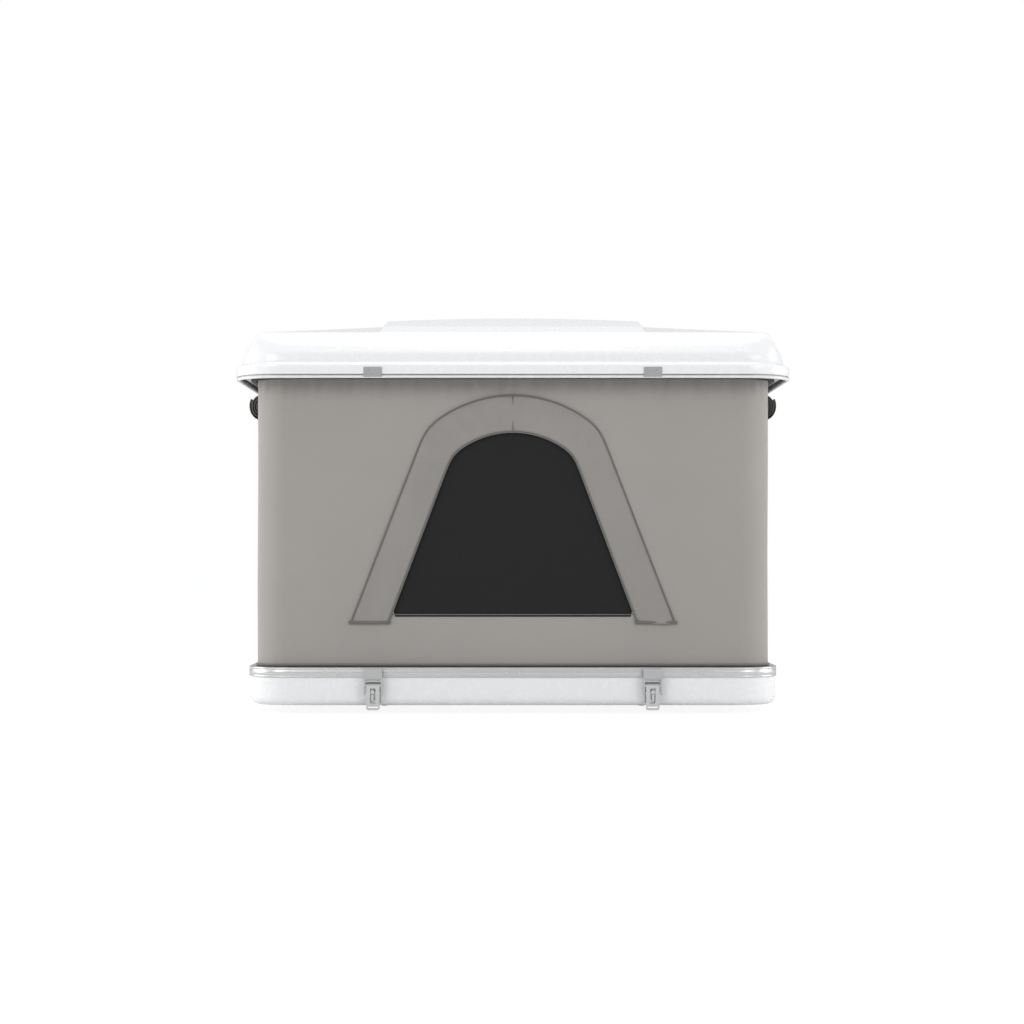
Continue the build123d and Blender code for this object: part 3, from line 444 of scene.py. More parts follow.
def woven(name, colour, threads, on_cloth=True, fold=0.0, roughness=0.86, sheen=0.25, blotch=0.08, deep=0.0004):
    """Woven cloth: plain weave with slubs, soft blotches of dye and, where asked, faint creases."""
    made = Finish(name, **{"Sheen_Weight": sheen, "Sheen_Roughness": 0.45, "Specular_IOR_Level": 0.25})
    where = made.where()
    base = made.cloth() if on_cloth else where
    weave = made.weave(base, threads)
    slub = made.clouds(made.moved(base, (1, 14, 1)), threads * 0.12, 3.0)
    dye = made.clouds(where, 3.2, 5.0)
    fine = made.clouds(where, 55.0, 5.0, 0.7)
    darker = made.mixed(dye, tone(colour, 1 - blotch), tone(colour, 1 + blotch))
    spun = made.mixed((1 - weave) * 0.30 + slub * 0.12, darker, tone(colour, 0.62))
    made.colour(made.mixed(fine * 0.14, spun, tone(colour, 0.74)))
    made.rough(roughness + fine * 0.1 - 0.05)
    height = weave * 0.6 + slub * 0.4
    if fold:
        crease = made.clouds(made.moved(where, (1, 1, 0.35)), 7.0, 3.0, 0.5)
        height = height * (1 - fold) + crease * (fold * 30.0)
    return made.bump(height, deep, 0.7).material


def netting(name, colour):
    """Fine insect net: a square lattice of threads over darker holes, and a soft wash of haze."""
    made = Finish(name, **{"Sheen_Weight": 0.03, "Specular_IOR_Level": 0.12})
    base = made.cloth()
    threads = made.node("ShaderNodeTexWave", {"wave_type": "BANDS", "bands_direction": "X"},
                        {"Vector": base, "Scale": 700.0 / 20 * math.pi, "Distortion": 0.0})
    cross = made.node("ShaderNodeTexWave", {"wave_type": "BANDS", "bands_direction": "Y"},
                      {"Vector": base, "Scale": 700.0 / 20 * math.pi, "Distortion": 0.0})
    lattice = 1 - (1 - threads) * (1 - cross)
    haze = made.clouds(made.where(), 4.0, 4.0)
    body = made.mixed(lattice, tone(colour, 0.72), tone(colour, 1.10))
    made.colour(made.mixed(haze * 0.4, body, tone(colour, 1.25)))
    made.rough(0.72 + haze * 0.16)
    return made.bump(lattice, 0.0003, 0.5).material


def quilted(name, colour):
    """Brushed lining cloth with a soft nap."""
    made = Finish(name, **{"Sheen_Weight": 0.4, "Sheen_Roughness": 0.5, "Specular_IOR_Level": 0.2})
    where = made.where()
    nap = made.clouds(made.moved(where, (1, 6, 1)), 240.0, 4.0, 0.7)
    made.colour(made.mixed(nap, tone(colour, 0.75), tone(colour, 1.35)))
    made.rough(0.82 + nap * 0.12)
    return made.bump(nap, 0.0006, 0.6).material


FINISHES = {}


def finish(name):
    """One shared material for each finish, made on first use from the chosen colours."""
    if name not in FINISHES:
        c = bpy.context.scene.tent_colours
        makers = {
            "shell": lambda: moulded_plastic("shell", tuple(c.shell)),
            "trim": lambda: moulded_plastic("lip_trim", tuple(c.trim)),
            "rim": lambda: satin_metal("rim_metal", tuple(c.rim), (1, 1, 40), 0.36, 50.0, 0.2),
            "rails": lambda: satin_metal("rail_metal", tone(c.rim, 0.95), (1, 0.02, 1), 0.4, 90.0),
            "rivets": lambda: satin_metal("rivet_metal", tone(c.rim, 1.15), (1, 1, 1), 0.3, 500.0),
            "fasteners": lambda: satin_metal("screw_metal", tone(c.rim, 0.9), (1, 1, 1), 0.35, 400.0),
            "arms": lambda: satin_metal("arm_metal", tone(c.rim, 0.92), (8, 1, 1), 0.38, 45.0),
            "latch_steel": lambda: satin_metal("latch_metal", tuple(c.steel), (6, 1, 1), 0.24, 160.0, 0.15),
            "latch_claw": lambda: satin_metal("claw_metal", tone(c.steel, 0.85), (6, 1, 1), 0.30, 160.0, 0.2),
            "strut_rod": lambda: satin_metal("rod_chrome", (0.70, 0.70, 0.71), (1, 1, 1), 0.12, 300.0, 0.05),
            "brackets": lambda: coated_metal("bracket_coat", tuple(c.bracket)),
            "strut_tube": lambda: coated_metal("strut_coat", tone(c.bracket, 0.45), 0.32),
            "seal": lambda: rubber("seal_rubber", tone(c.webbing, 0.9)),
            "wall_fabric": lambda: woven("wall_canvas", tuple(c.wall), 900.0, True, 0.05),
            "band_fabric": lambda: woven("band_cloth", tuple(c.band), 800.0, True, 0.10, 0.8, 0.3, 0.12),
            "binding": lambda: woven("binding_tape", tuple(c.binding), 700.0, False, 0.0, 0.8, 0.2),
            "mesh": lambda: netting("insect_net", tuple(c.mesh)),
            "webbing": lambda: woven("strap_webbing", tuple(c.webbing), 500.0, True, 0.0, 0.75, 0.15),
            "buckle": lambda: rubber("buckle_plastic", tone(c.webbing, 0.8)),
            "liner": lambda: quilted("roof_lining", tuple(c.liner)),
            "mattress": lambda: woven("mattress_cover", tuple(c.mattress), 420.0, False, 0.0, 0.88, 0.4),
        }
        FINISHES[name] = makers[name]()
    return FINISHES[name]


def settle(piece, body, material, slot, *nodes):
    """Gives a piece its finish and body, and lets it stand for the CAD nodes named. The slot argument is not used."""
    piece.data.materials.clear()
    piece.data.materials.append(finish(material))
    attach(piece, body)
    if nodes:
        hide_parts(*nodes)
    return piece


def thickened(piece, thickness, offset=-1.0):
    """Gives an open sheet its thickness, with a rim."""
    solid = piece.modifiers.new("thickness", "SOLIDIFY")
    solid.thickness, solid.offset, solid.use_rim = thickness, offset, True
    return piece


def folding(piece):
    """Soft piece of the walls: gives it its own copy of its mesh."""
    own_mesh(piece)
    return piece


# ---------------------------------------------------------------- lid
# (distance from the middle, height above the lip) across and along the lid
BODY_ACROSS = [(0.0, 0.150), (0.200, 0.147), (0.381, 0.142), (0.560, 0.119), (0.737, 0.096), (0.756, 0.065), (0.777, 0.030)]
BODY_ALONG = [(0.0, 0.150), (0.500, 0.147), (0.700, 0.142), (0.830, 0.119), (0.970, 0.096), (1.002, 0.065), (1.027, 0.030)]
PANEL_ACROSS = [(0.0, 0.1688), (0.090, 0.168), (0.187, 0.163), (0.270, 0.158), (0.371, 0.151), (0.377, 0.121), (0.383, 0.096),
                (0.40, 0.02), (0.80, -0.3)]
PANEL_ALONG = [(0.0, 0.1688), (0.690, 0.168), (0.715, 0.163), (0.735, 0.158), (0.766, 0.151), (0.900, 0.121), (0.966, 0.096),
               (0.985, 0.06), (1.03, -0.05)]
TOP_CORNER = 0.112


def lines_across(stops):
    """Positions of grid lines from the middle out: each stop is (end, spacing) of a zone."""
    at = [0.0]
    for end, spacing in stops:
        count = max(1, int(round((end - at[-1]) / spacing)))
        at += list(np.linspace(at[-1], end, count + 1)[1:])
    return np.array(at)


def height_along(line, spread, at):
    smooth = softened(line, spread)
    order = np.argsort(smooth[:, 0])
    return np.interp(at, smooth[order, 0], smooth[order, 1])


def roof_height(x, y, soft_shoulder, soft_panel):
    """Roof above the lip: the body is the smaller of its heights across and along, the panel likewise, and the
    roof is the larger of the two, each blend rounded."""
    body = smaller(height_along(BODY_ACROSS, soft_shoulder, np.abs(x))[:, None],
                   height_along(BODY_ALONG, soft_shoulder, np.abs(y))[None, :], 0.006)
    panel = smaller(height_along(PANEL_ACROSS, soft_panel, np.abs(x))[:, None],
                    height_along(PANEL_ALONG, soft_panel, np.abs(y))[None, :], 0.004)
    return larger(body, panel, 0.003)


def round_corners(x, y, half_x, half_y, corner):
    """Moves the corner zones of a square grid onto quarter discs: p times the root of 1 - q squared / 2, and the
    other way about, so the grid's edge becomes a rounded rectangle."""
    p = np.clip((np.abs(x) - (half_x - corner)) / corner, 0, 1)
    q = np.clip((np.abs(y) - (half_y - corner)) / corner, 0, 1)
    round_x = np.where(p > 0, half_x - corner + corner * p * np.sqrt(1 - q * q / 2), np.abs(x))
    round_y = np.where(q > 0, half_y - corner + corner * q * np.sqrt(1 - p * p / 2), np.abs(y))
    return np.sign(x) * round_x, np.sign(y) * round_y


def roof_grid(inset=0.0, fine=1.0):
    """Roof as a height over a grid whose lines close up along the shoulders and the panel's step. Returns the points."""
    sizes = bpy.context.scene.tent_sizes
    across = lines_across([(0.36, 0.030 * fine), (0.392, 0.0025 * fine), (0.56, 0.021 * fine),
                           (0.715, 0.016 * fine), (0.777, 0.0045 * fine)])
    along = lines_across([(0.68, 0.045 * fine), (0.78, 0.008 * fine), (0.94, 0.012 * fine), (1.027, 0.0045 * fine)])
    x = np.concatenate([-across[:0:-1], across])
    y = np.concatenate([-along[:0:-1], along])
    height = roof_height(x, y, sizes.shoulder_round, sizes.panel_round) - inset
    grid_x, grid_y = np.meshgrid(x, y, indexing="ij")
    place_x, place_y = round_corners(grid_x, grid_y, 0.777, 1.027, TOP_CORNER)
    shrink_x, shrink_y = 1 - inset / 0.777, 1 - inset / 1.027
    return np.stack([place_x * shrink_x, place_y * shrink_y, LIP_TOP + height], axis=-1)


def edge_of(grid):
    """Numbers of a grid's edge points in order round it."""
    rows, columns = grid.shape[:2]
    number = np.arange(rows * columns).reshape(rows, columns)
    return np.concatenate([number[-1, :-1], number[::-1, -1][:-1], number[0, ::-1][:-1], number[:-1, 0]])


def skirt(start, half_x, half_y, corner, profile):
    """Strip from a rounded edge outwards: each ring is the edge's point on the inner rounded rectangle plus its
    normal times a distance, at its own height. start holds the edge's points."""
    inner_x, inner_y = half_x - corner, half_y - corner
    centre = np.stack([np.clip(start[:, 0], -inner_x, inner_x), np.clip(start[:, 1], -inner_y, inner_y)], axis=1)
    out = start[:, :2] - centre
    out /= np.linalg.norm(out, axis=1)[:, None]
    rings = [np.column_stack([centre + out * (corner + offset), np.full(len(start), z)]) for offset, z in profile]
    return np.stack(rings)


def build_lid():
    """Lid skin: the roof's grid and a skirt down over the stepped body, ledge and lip."""
    sizes = bpy.context.scene.tent_sizes
    grid = roof_grid()
    rows, columns = grid.shape[:2]
    edge = edge_of(grid)
    lip = 0.031
    profile = [(0.0015, 0.024), (0.0030, 0.018), (0.0045, 0.012), (0.0058, 0.007), (0.0078, 0.0035),
               (0.0112, 0.0010), (0.0150, -0.0002), (0.0185, -0.0012), (0.0212, -0.0032), (0.0226, -0.0065),
               (0.0230, -0.0105), (0.0230, -0.018), (0.0230, -0.025), (0.0227, -lip)]
    rings = skirt(grid.reshape(-1, 3)[edge], 0.777, 1.027, TOP_CORNER, [(o, LIP_TOP + z) for o, z in profile])
    points = np.concatenate([grid.reshape(-1, 3), rings.reshape(-1, 3)])
    count = len(edge)
    numbers = np.concatenate([edge[None, :], rows * columns + np.arange(len(profile) * count).reshape(-1, count)])
    here, right = numbers[:-1], np.roll(numbers[:-1], -1, axis=1)
    down, across = numbers[1:], np.roll(numbers[1:], -1, axis=1)
    strip = np.stack([here, down, across, right], axis=-1).reshape(-1, 4)
    piece = surface("lid_skin", points, np.concatenate([quads(rows, columns, turn=True), strip]))
    return thickened(piece, sizes.shell_wall)


# ---------------------------------------------------------------- openings in the fabric
class Arch:
    """Outline of an arched opening on a wall: straight legs that lean in from foot to shoulder, and an arc of a
    circle through both shoulders and the top."""

    def __init__(self, foot, foot_z, shoulder, shoulder_z, top_z):
        self.foot, self.foot_z, self.shoulder = foot, foot_z, shoulder
        self.shoulder_z, self.top_z = shoulder_z, top_z
        rise = top_z - shoulder_z
        self.radius = (shoulder ** 2 + rise ** 2) / (2 * rise)
        self.centre_z = top_z - self.radius

    def path(self, leg_steps, arc_steps, rounded=False):
        """From the left foot over the top to the right foot, as (across, z). Rounded blends each leg into the arc by
        a running mean under a bell curve."""
        leg = np.linspace(0, 1, leg_steps + 1)[:, None]
        left = np.array([-self.foot, self.foot_z]) + leg * np.array([self.foot - self.shoulder,
                                                                     self.shoulder_z - self.foot_z])
        half = math.asin(min(1.0, self.shoulder / self.radius))
        angle = np.linspace(-half, half, arc_steps + 1)[1:-1]
        arc = np.stack([self.radius * np.sin(angle), self.centre_z + self.radius * np.cos(angle)], axis=1)
        right = left[::-1] * np.array([-1, 1])
        line = np.concatenate([left, arc, right])
        if rounded:
            bell = np.exp(-0.5 * (np.arange(-9, 10) / 3.2) ** 2)
            bell /= bell.sum()
            soft = np.stack([np.convolve(line[:, k], bell, mode="same") for k in range(2)], axis=1)
            line[9:-9] = soft[9:-9]
        return line

    def half_width(self, z):
        leg = self.foot + (self.shoulder - self.foot) * (z - self.foot_z) / (self.shoulder_z - self.foot_z)
        arc = np.sqrt(np.maximum(self.radius ** 2 - (z - self.centre_z) ** 2, 0))
        return np.where(z <= self.shoulder_z, leg, arc)


WINDOW = Arch(0.350, 0.276, 0.176, 0.737, 0.806)
BAND = Arch(0.465, 0.256, 0.250, 0.813, 0.911)
BAND_INNER = Arch(0.3575, 0.256, 0.176, 0.737, 0.806)
DOOR = Arch(0.490, 0.276, 0.350, 0.745, 0.842)


def signed_distance(across, z, arch):
    """Distance to an arch's outline, negative inside, from its closed polygon: nearest point of any side."""
    outline = arch.path(2, 48)
    ends = np.roll(outline, -1, axis=0)
    point = np.stack([across.ravel(), z.ravel()], axis=1)
    side = ends - outline
    t = np.clip(((point[:, None] - outline) * side).sum(-1) / (side ** 2).sum(-1), 0, 1)
    foot = outline + t[..., None] * side
    away = point[:, None] - foot
    gap = np.linalg.norm(away, axis=-1)
    nearest = gap.argmin(axis=1)
    pick = np.arange(len(point))
    width = arch.half_width(point[:, 1])
    inside = (point[:, 1] > arch.foot_z) & (point[:, 1] < arch.top_z) & (np.abs(point[:, 0]) < width)
    distance = np.where(inside, -1, 1) * gap[pick, nearest]
    return distance.reshape(across.shape), foot[pick, nearest].reshape(across.shape + (2,))


def build_wall():
    """Wall round the tent: a grid of distance round the tent by height, gathered under the lid and bowed a little
    between the corners, whose openings are cut by moving the nearest points onto the arches."""
    sizes = bpy.context.scene.tent_sizes
    path, normal, along = rounded_path(WALL_X - 0.0005, WALL_Y - 0.0005, WALL_CORNER, 0.0095, 16)
    z = np.concatenate([np.linspace(WALL_BOTTOM, HEM_Z, 11), np.linspace(HEM_Z, 0.86, 34)[1:],
                        np.linspace(0.86, 0.952, 15)[1:], np.linspace(0.952, WALL_TOP - 0.001, 6)[1:]])
    rows, columns = len(path), len(z)
    grid = np.zeros((rows, columns, 3))
    grid[..., 0], grid[..., 1], grid[..., 2] = path[:, :1], path[:, 1:], z
    for flat_axis, across_axis, end, arch in ((1, 0, WALL_Y, WINDOW), (0, 1, WALL_X, DOOR)):
        on_face = np.abs(normal[:, flat_axis]) > 0.999
        across, up = grid[on_face][..., across_axis], grid[on_face][..., 2]
        gap, foot = signed_distance(across, up, arch)
        near = np.abs(gap) < 0.0065
        face = grid[on_face]
        face[..., across_axis] = np.where(near, foot[..., 0], across)
        face[..., 2] = np.where(near & (np.abs(up - HEM_Z) > 0.001), foot[..., 1], up)
        grid[on_face] = face
    depth = np.clip((grid[..., 2] - (0.952 - sizes.pucker_long)) / sizes.pucker_long, 0, 1) ** 1.7
    walk = along[:, None] + 0.004 * noise(np.stack([along[:, None] + 0 * z, 0 * along[:, None] + z], -1), 0.09, 4)
    fold = (np.sin(walk * 2 * np.pi / 0.031) + 0.7 * np.sin(walk * 2 * np.pi / 0.0473 + 1.3)
            + 0.5 * np.sin(walk * 2 * np.pi / 0.113 + 0.4)) / 2.2
    height = (grid[..., 2] - WALL_BOTTOM) / (WALL_TOP - WALL_BOTTOM)
    straight = np.minimum(1, np.minimum(np.abs(np.abs(path[:, 0]) - WALL_X), np.abs(np.abs(path[:, 1]) - WALL_Y)) / 0.002)
    slack = noise(np.stack([along[:, None] * 0.8 + 0 * z, (0 * along[:, None] + z) * 0.5], -1), 0.42, 9)
    long_wave = noise(np.stack([along[:, None] + 0 * z, (0 * along[:, None] + z) * 0.18], -1), 0.16, 12)
    bow = np.sin(np.pi * np.clip(height, 0, 1))
    offset = (-0.0025 + sizes.pucker * depth * (fold - 0.4) * 0.9
              + bow * (0.0016 * slack + 0.0008 * long_wave)) + 0 * straight[:, None]
    grid[..., 0] += normal[:, :1] * offset
    grid[..., 1] += normal[:, 1:] * offset
    faces = quads(rows, columns, wrap_rows=True)
    centre = grid.reshape(-1, 3)[faces].mean(axis=1)
    on_end = (np.abs(np.abs(centre[:, 1]) - WALL_Y) < 0.02) & (np.abs(centre[:, 0]) < 0.5)
    on_side = (np.abs(np.abs(centre[:, 0]) - WALL_X) < 0.02) & (np.abs(centre[:, 1]) < 0.6)
    cut = np.zeros(len(faces), bool)
    for where, across_axis, arch in ((on_end, 0, WINDOW), (on_side, 1, DOOR)):
        corners = grid.reshape(-1, 3)[faces[where]]
        gap, _ = signed_distance(corners[..., across_axis], corners[..., 2], arch)
        cut[np.flatnonzero(where)] = gap.min(axis=1) < -0.0012
    round_it = along[-1] + np.linalg.norm(path[-1] - path[0])
    uv = np.stack(np.broadcast_arrays(along[:, None], grid[..., 2]), axis=-1)
    piece = surface("tent_wall", grid, faces[~cut], uv)
    drop_loose(piece)
    thickened(piece, sizes.cloth)
    area = sum(polygon.area for polygon in piece.data.polygons)
    return piece, (round_it, WALL_TOP - WALL_BOTTOM), area


def drop_loose(piece):
    """Removes points that no face uses."""
    work = bmesh.new()
    work.from_mesh(piece.data)
    bmesh.ops.delete(work, geom=[v for v in work.verts if not v.link_faces], context="VERTS")
    work.to_mesh(piece.data)
    work.free()


def on_wall(across, z, out, side, flat):
    """Point on an end wall (flat 1) or side wall (flat 0): the distance across, height and distance outwards."""
    reach = (WALL_Y if flat else WALL_X) - 0.0005 + out
    across, z, reach = np.broadcast_arrays(across, z, reach)
    return np.stack([across, side * reach, z] if flat else [side * reach, across, z], axis=-1)


def facing(piece, direction):
    """Turns an open sheet so that its faces look along a direction."""
    mesh = piece.data
    total = sum((p.normal * p.area for p in mesh.polygons), Vector())
    if total.dot(Vector(direction)) < 0:
        mesh.flip_normals()
    return piece


def build_band(end_name, side):
    """Band round a window: a strip from the inner to the outer arch, slack across its width, with diagonal pulls
    on the legs and small gathers where it bends at the top."""
    inner, outer = BAND_INNER.path(64, 60, True), BAND.path(64, 60, True)
    steps = len(inner)
    width = np.linspace(0, 1, 15)
    flat = inner[:, None] * (1 - width[None, :, None]) + outer[:, None] * width[None, :, None]
    along = np.concatenate([[0], np.cumsum(np.linalg.norm(np.diff((inner + outer) / 2, axis=0), axis=1))])
    spread = np.stack([along[:, None] + 0 * width, 0 * along[:, None] + width * 0.10], axis=-1)
    crown = np.sin(np.pi * width)[None, :] ** 0.7
    pull = noise(spread * np.array([1.0, 0.6]) + 0.02 * side, 0.075, 21)
    large = noise(spread, 0.23, 23)
    bend = np.exp(-((along / along[-1] - 0.5) / 0.20) ** 2)[:, None]
    gather = bend * np.sin(along[:, None] * 2 * np.pi / 0.052 + 2 * width) * 0.0022
    out = 0.0022 + crown * (0.0042 + 0.0034 * pull + 0.0024 * large + gather)
    grid = on_wall(flat[..., 0], flat[..., 1], out, side, True)
    uv = np.stack([0 * along[:, None] + width * 0.1, along[:, None] + 0 * width], axis=-1)
    piece = surface(f"window_band_cloth_{end_name}", grid, quads(steps, len(width)), uv)
    facing(piece, (0, side, 0))
    area = sum(p.area for p in piece.data.polygons)
    return thickened(piece, 0.0014), along[-1], area


def build_net(name, arch, side, flat):
    """Net in an opening: rows from edge to edge of the arch, bellied outwards by the sines of both directions."""
    z = np.concatenate([np.linspace(arch.foot_z, arch.shoulder_z, 34), np.linspace(arch.shoulder_z, arch.top_z - 0.0006, 12)[1:]])
    share = np.linspace(-1, 1, 47)
    half = arch.half_width(z) + 0.002
    across = share[:, None] * half[None, :]
    belly = np.cos(share[:, None] * np.pi / 2) * np.sin(np.pi * (z - arch.foot_z) / (arch.top_z - arch.foot_z))[None, :]
    ripple = noise(np.stack([across, z[None, :] + 0 * across], -1), 0.13, 31 + flat) * 0.0008
    grid = on_wall(across, z[None, :] + 0 * across, -0.0042 + belly * (0.0022 + ripple), side, flat)
    uv = np.stack([across, z[None, :] + 0 * across], axis=-1)
    piece = surface(name, grid, quads(len(share), len(z)), uv)
    facing(piece, (0, side, 0) if flat else (side, 0, 0))
    return piece, sum(p.area for p in piece.data.polygons)


def along_arch(path, out, side, flat):
    return on_wall(path[:, 0], path[:, 1], out, side, flat)


# ---------------------------------------------------------------- rolled door covers
ROLL_LOW, ROLL_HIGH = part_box("door_roll_right")
ROLL_X, ROLL_Z = (ROLL_LOW.x + ROLL_HIGH.x) / 2, (ROLL_LOW.z + ROLL_HIGH.z) / 2
ROLL_WIDE, ROLL_TALL = ROLL_HIGH.x - ROLL_LOW.x, ROLL_HIGH.z - ROLL_LOW.z
STRAP_Y = 0.330


def build_roll(name, side):
    """Rolled cloth: a spiral section, taller than wide, carried along the door. Its radius grows evenly with the
    angle, it is pinched under both straps, and its turns slip a little towards the ends."""
    turns, sides = 4.0, 30
    count = int(turns * sides)
    angle = np.linspace(0, turns * 2 * np.pi, count + 1) + 0.6
    share = np.linspace(0.14, 1.0, count + 1)
    y = np.linspace(ROLL_LOW.y + 0.004, ROLL_HIGH.y - 0.004, 100)
    pinch = 1 - 0.13 * (np.exp(-((y - STRAP_Y) / 0.022) ** 2) + np.exp(-((y + STRAP_Y) / 0.022) ** 2))
    sag = noise(y[:, None], 0.33, 41)
    lumps = noise(np.stack(np.broadcast_arrays(y[:, None] * 1.0, 0.05 * np.cos(angle)[None, :],
                                               0.05 * np.sin(angle)[None, :]), -1), 0.10, 43)
    size = share[None, :] * pinch[:, None] * (0.955 + 0.030 * lumps)
    x = ROLL_X + size * (ROLL_WIDE / 2) * np.cos(angle)[None, :]
    z = ROLL_Z + size * (ROLL_TALL / 2) * np.sin(angle)[None, :] + 0.0006 * sag[:, None]
    slip = np.sign(y)[:, None] * (np.abs(y)[:, None] / 0.56) ** 6 * -0.012 * (1 - share)[None, :]
    grid = np.stack(np.broadcast_arrays(side * x, y[:, None] + slip, z), axis=-1)
    spiral = np.concatenate([[0], np.cumsum(np.hypot(np.diff(x[50]), np.diff(z[50])))])
    uv = np.stack(np.broadcast_arrays(y[:, None], spiral[None, :]), axis=-1)
    piece = surface(name, grid, quads(len(y), count + 1, turn=side < 0), uv)
    return thickened(piece, 0.0012), (float(np.ptp(y)), float(spiral[-1])), sum(p.area for p in piece.data.polygons)


def build_strap(name, side, y_middle):
    """Flat strap round a roll: a thin strip on an ellipse just outside the pinched cloth."""
    angle = np.linspace(0, 2 * np.pi, 73)
    half_x, half_z = ROLL_WIDE / 2 * 0.90 + 0.001, ROLL_TALL / 2 * 0.90 + 0.001
    across = np.linspace(-0.0125, 0.0125, 5)
    crown = 0.0004 * np.cos(across / 0.0125 * np.pi / 2)
    x = ROLL_X + (half_x + crown[None, :]) * np.cos(angle)[:, None]
    z = ROLL_Z + (half_z + crown[None, :]) * np.sin(angle)[:, None]
    grid = np.stack(np.broadcast_arrays(side * x, y_middle + across[None, :], z), axis=-1)[:-1]
    piece = surface(name, grid, quads(72, 5, wrap_rows=True, turn=side > 0),
                    np.stack(np.broadcast_arrays(across[None, :], angle[:-1, None] * half_z), axis=-1))
    return thickened(piece, 0.0012, 1.0), half_z * 2 * np.pi * 0.95


def build_buckle(name, side, y_middle):
    """Ladder buckle: a rounded square section carried round a small rounded rectangle, with a cross bar."""
    out = ROLL_X + ROLL_WIDE / 2 * 0.90 + 0.0035
    path, _, _ = rounded_path(0.0165, 0.013, 0.004, 0.008, 4)
    ring = np.column_stack([np.full(len(path), side * out), y_middle + path[:, 0], ROLL_Z + path[:, 1]])
    frame_ring = tube(name, ring, 0.0021, 8, closed=True)
    bar = tube(name + "_bar", np.array([[side * out, y_middle + t, ROLL_Z] for t in np.linspace(-0.0155, 0.0155, 5)]),
               0.0017, 8)
    return frame_ring, bar


# ---------------------------------------------------------------- base, liner and mattress
def rim_outline():
    """Section of the rim as (outward offset, z): a flat cap, a rolled lower bead and a groove under the cap."""
    t, b, w = RIM_TOP, RIM_BOTTOM, 0.030
    outer = [(-0.0026, t), (-0.0008, t - 0.0010), (-0.0001, t - 0.0030), (-0.0001, t - 0.0052), (-0.0013, t - 0.0062),
             (-0.0013, t - 0.0078), (-0.0002, t - 0.0088), (-0.0002, b + 0.0066), (-0.0012, b + 0.0056),
             (-0.0002, b + 0.0044), (0.0, b + 0.0022), (-0.0006, b + 0.0006), (-0.0018, b)]
    inner = [(-0.0029, b), (-0.0030, t - 0.0030), (-w + 0.0030, t - 0.0030), (-w + 0.0030, b), (-w + 0.0005, b),
             (-w, b + 0.0005), (-w, t - 0.0010), (-w + 0.0010, t), (-0.012, t + 0.0)]
    return outer + inner


def build_liner():
    """Quilted lining: the roof's grid moved in under the shell, raised between stitched lines that cross at the
    quilting's pitch."""
    sizes = bpy.context.scene.tent_sizes
    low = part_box("lid_liner")[0].z
    grid = roof_grid(0.0068, 1.6)
    flat = grid.reshape(-1, 3)
    keep = flat[:, 2] >= low
    pitch = sizes.quilt
    puff = np.abs(np.sin(np.pi * (flat[:, 0] + flat[:, 1]) / pitch) * np.sin(np.pi * (flat[:, 0] - flat[:, 1]) / pitch))
    flat[:, 2] -= 0.0035 * puff ** 0.5
    faces = quads(*grid.shape[:2])
    faces = faces[keep[faces].all(axis=1)]
    piece = surface("roof_lining", flat, faces)
    drop_loose(piece)
    return thickened(facing(piece, (0, 0, -1)), 0.002, -1.0), sum(p.area for p in piece.data.polygons)


def build_mattress():
    """Mattress: a rounded block by angle and height. Its sides bulge between the top and bottom seams, its top dips at
    the tufts, and it lies flat on the floor."""
    low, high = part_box("mattress")
    half_x, half_y = (high.x - low.x) / 2, (high.y - low.y) / 2
    rise = high.z - low.z
    points, normals, along = rounded_path(half_x, half_y, 0.060, 0.03, 10)
    levels = [(-0.030, 0.0), (-0.006, 0.0), (-0.0015, 0.003), (-0.0030, 0.0075), (0.0, 0.017), (0.0, 0.050),
              (-0.0030, rise - 0.0085), (-0.0008, rise - 0.004), (-0.004, rise - 0.001), (-0.012, rise - 0.0006),
              (-0.030, rise)]
    bulge = 0.0012 * noise(along[:, None], 0.21, 51)[:, None]
    rings = np.stack([np.column_stack([points + normals * (offset - 0.0015 + bulge), np.full(len(points), low.z + z)])
                      for offset, z in levels], axis=1)
    count = len(points)
    inner = rings[:, -1]
    shrink = np.array([0.97, 0.9, 0.8, 0.7, 0.6, 0.5, 0.4, 0.3, 0.2, 0.1, 0.002])
    top = inner[:, None] * np.array([1, 1, 0]) * shrink[None, :, None] + np.array([0, 0, 1]) * inner[:, None]
    tuft = np.cos(top[..., 0] * 2 * np.pi / 0.22) * np.cos(top[..., 1] * 2 * np.pi / 0.24)
    top[..., 2] = low.z + rise - 0.0026 * np.clip(tuft, 0, 1) ** 3
    under = rings[:, 0][:, None] * np.array([1, 1, 0]) * np.array([0.002, 0.5, 0.97])[None, :, None]
    under[..., 2] = low.z
    grid = np.concatenate([under, rings, top], axis=1)
    piece = surface("mattress_pad", grid, quads(count, grid.shape[1], wrap_rows=True), weld=0.004)
    work = bmesh.new()
    work.from_mesh(piece.data)
    bmesh.ops.holes_fill(work, edges=[e for e in work.edges if len(e.link_faces) == 1], sides=0)
    bmesh.ops.recalc_face_normals(work, faces=work.faces)
    work.to_mesh(piece.data)
    work.free()
    piece.data.shade_smooth()
    return piece


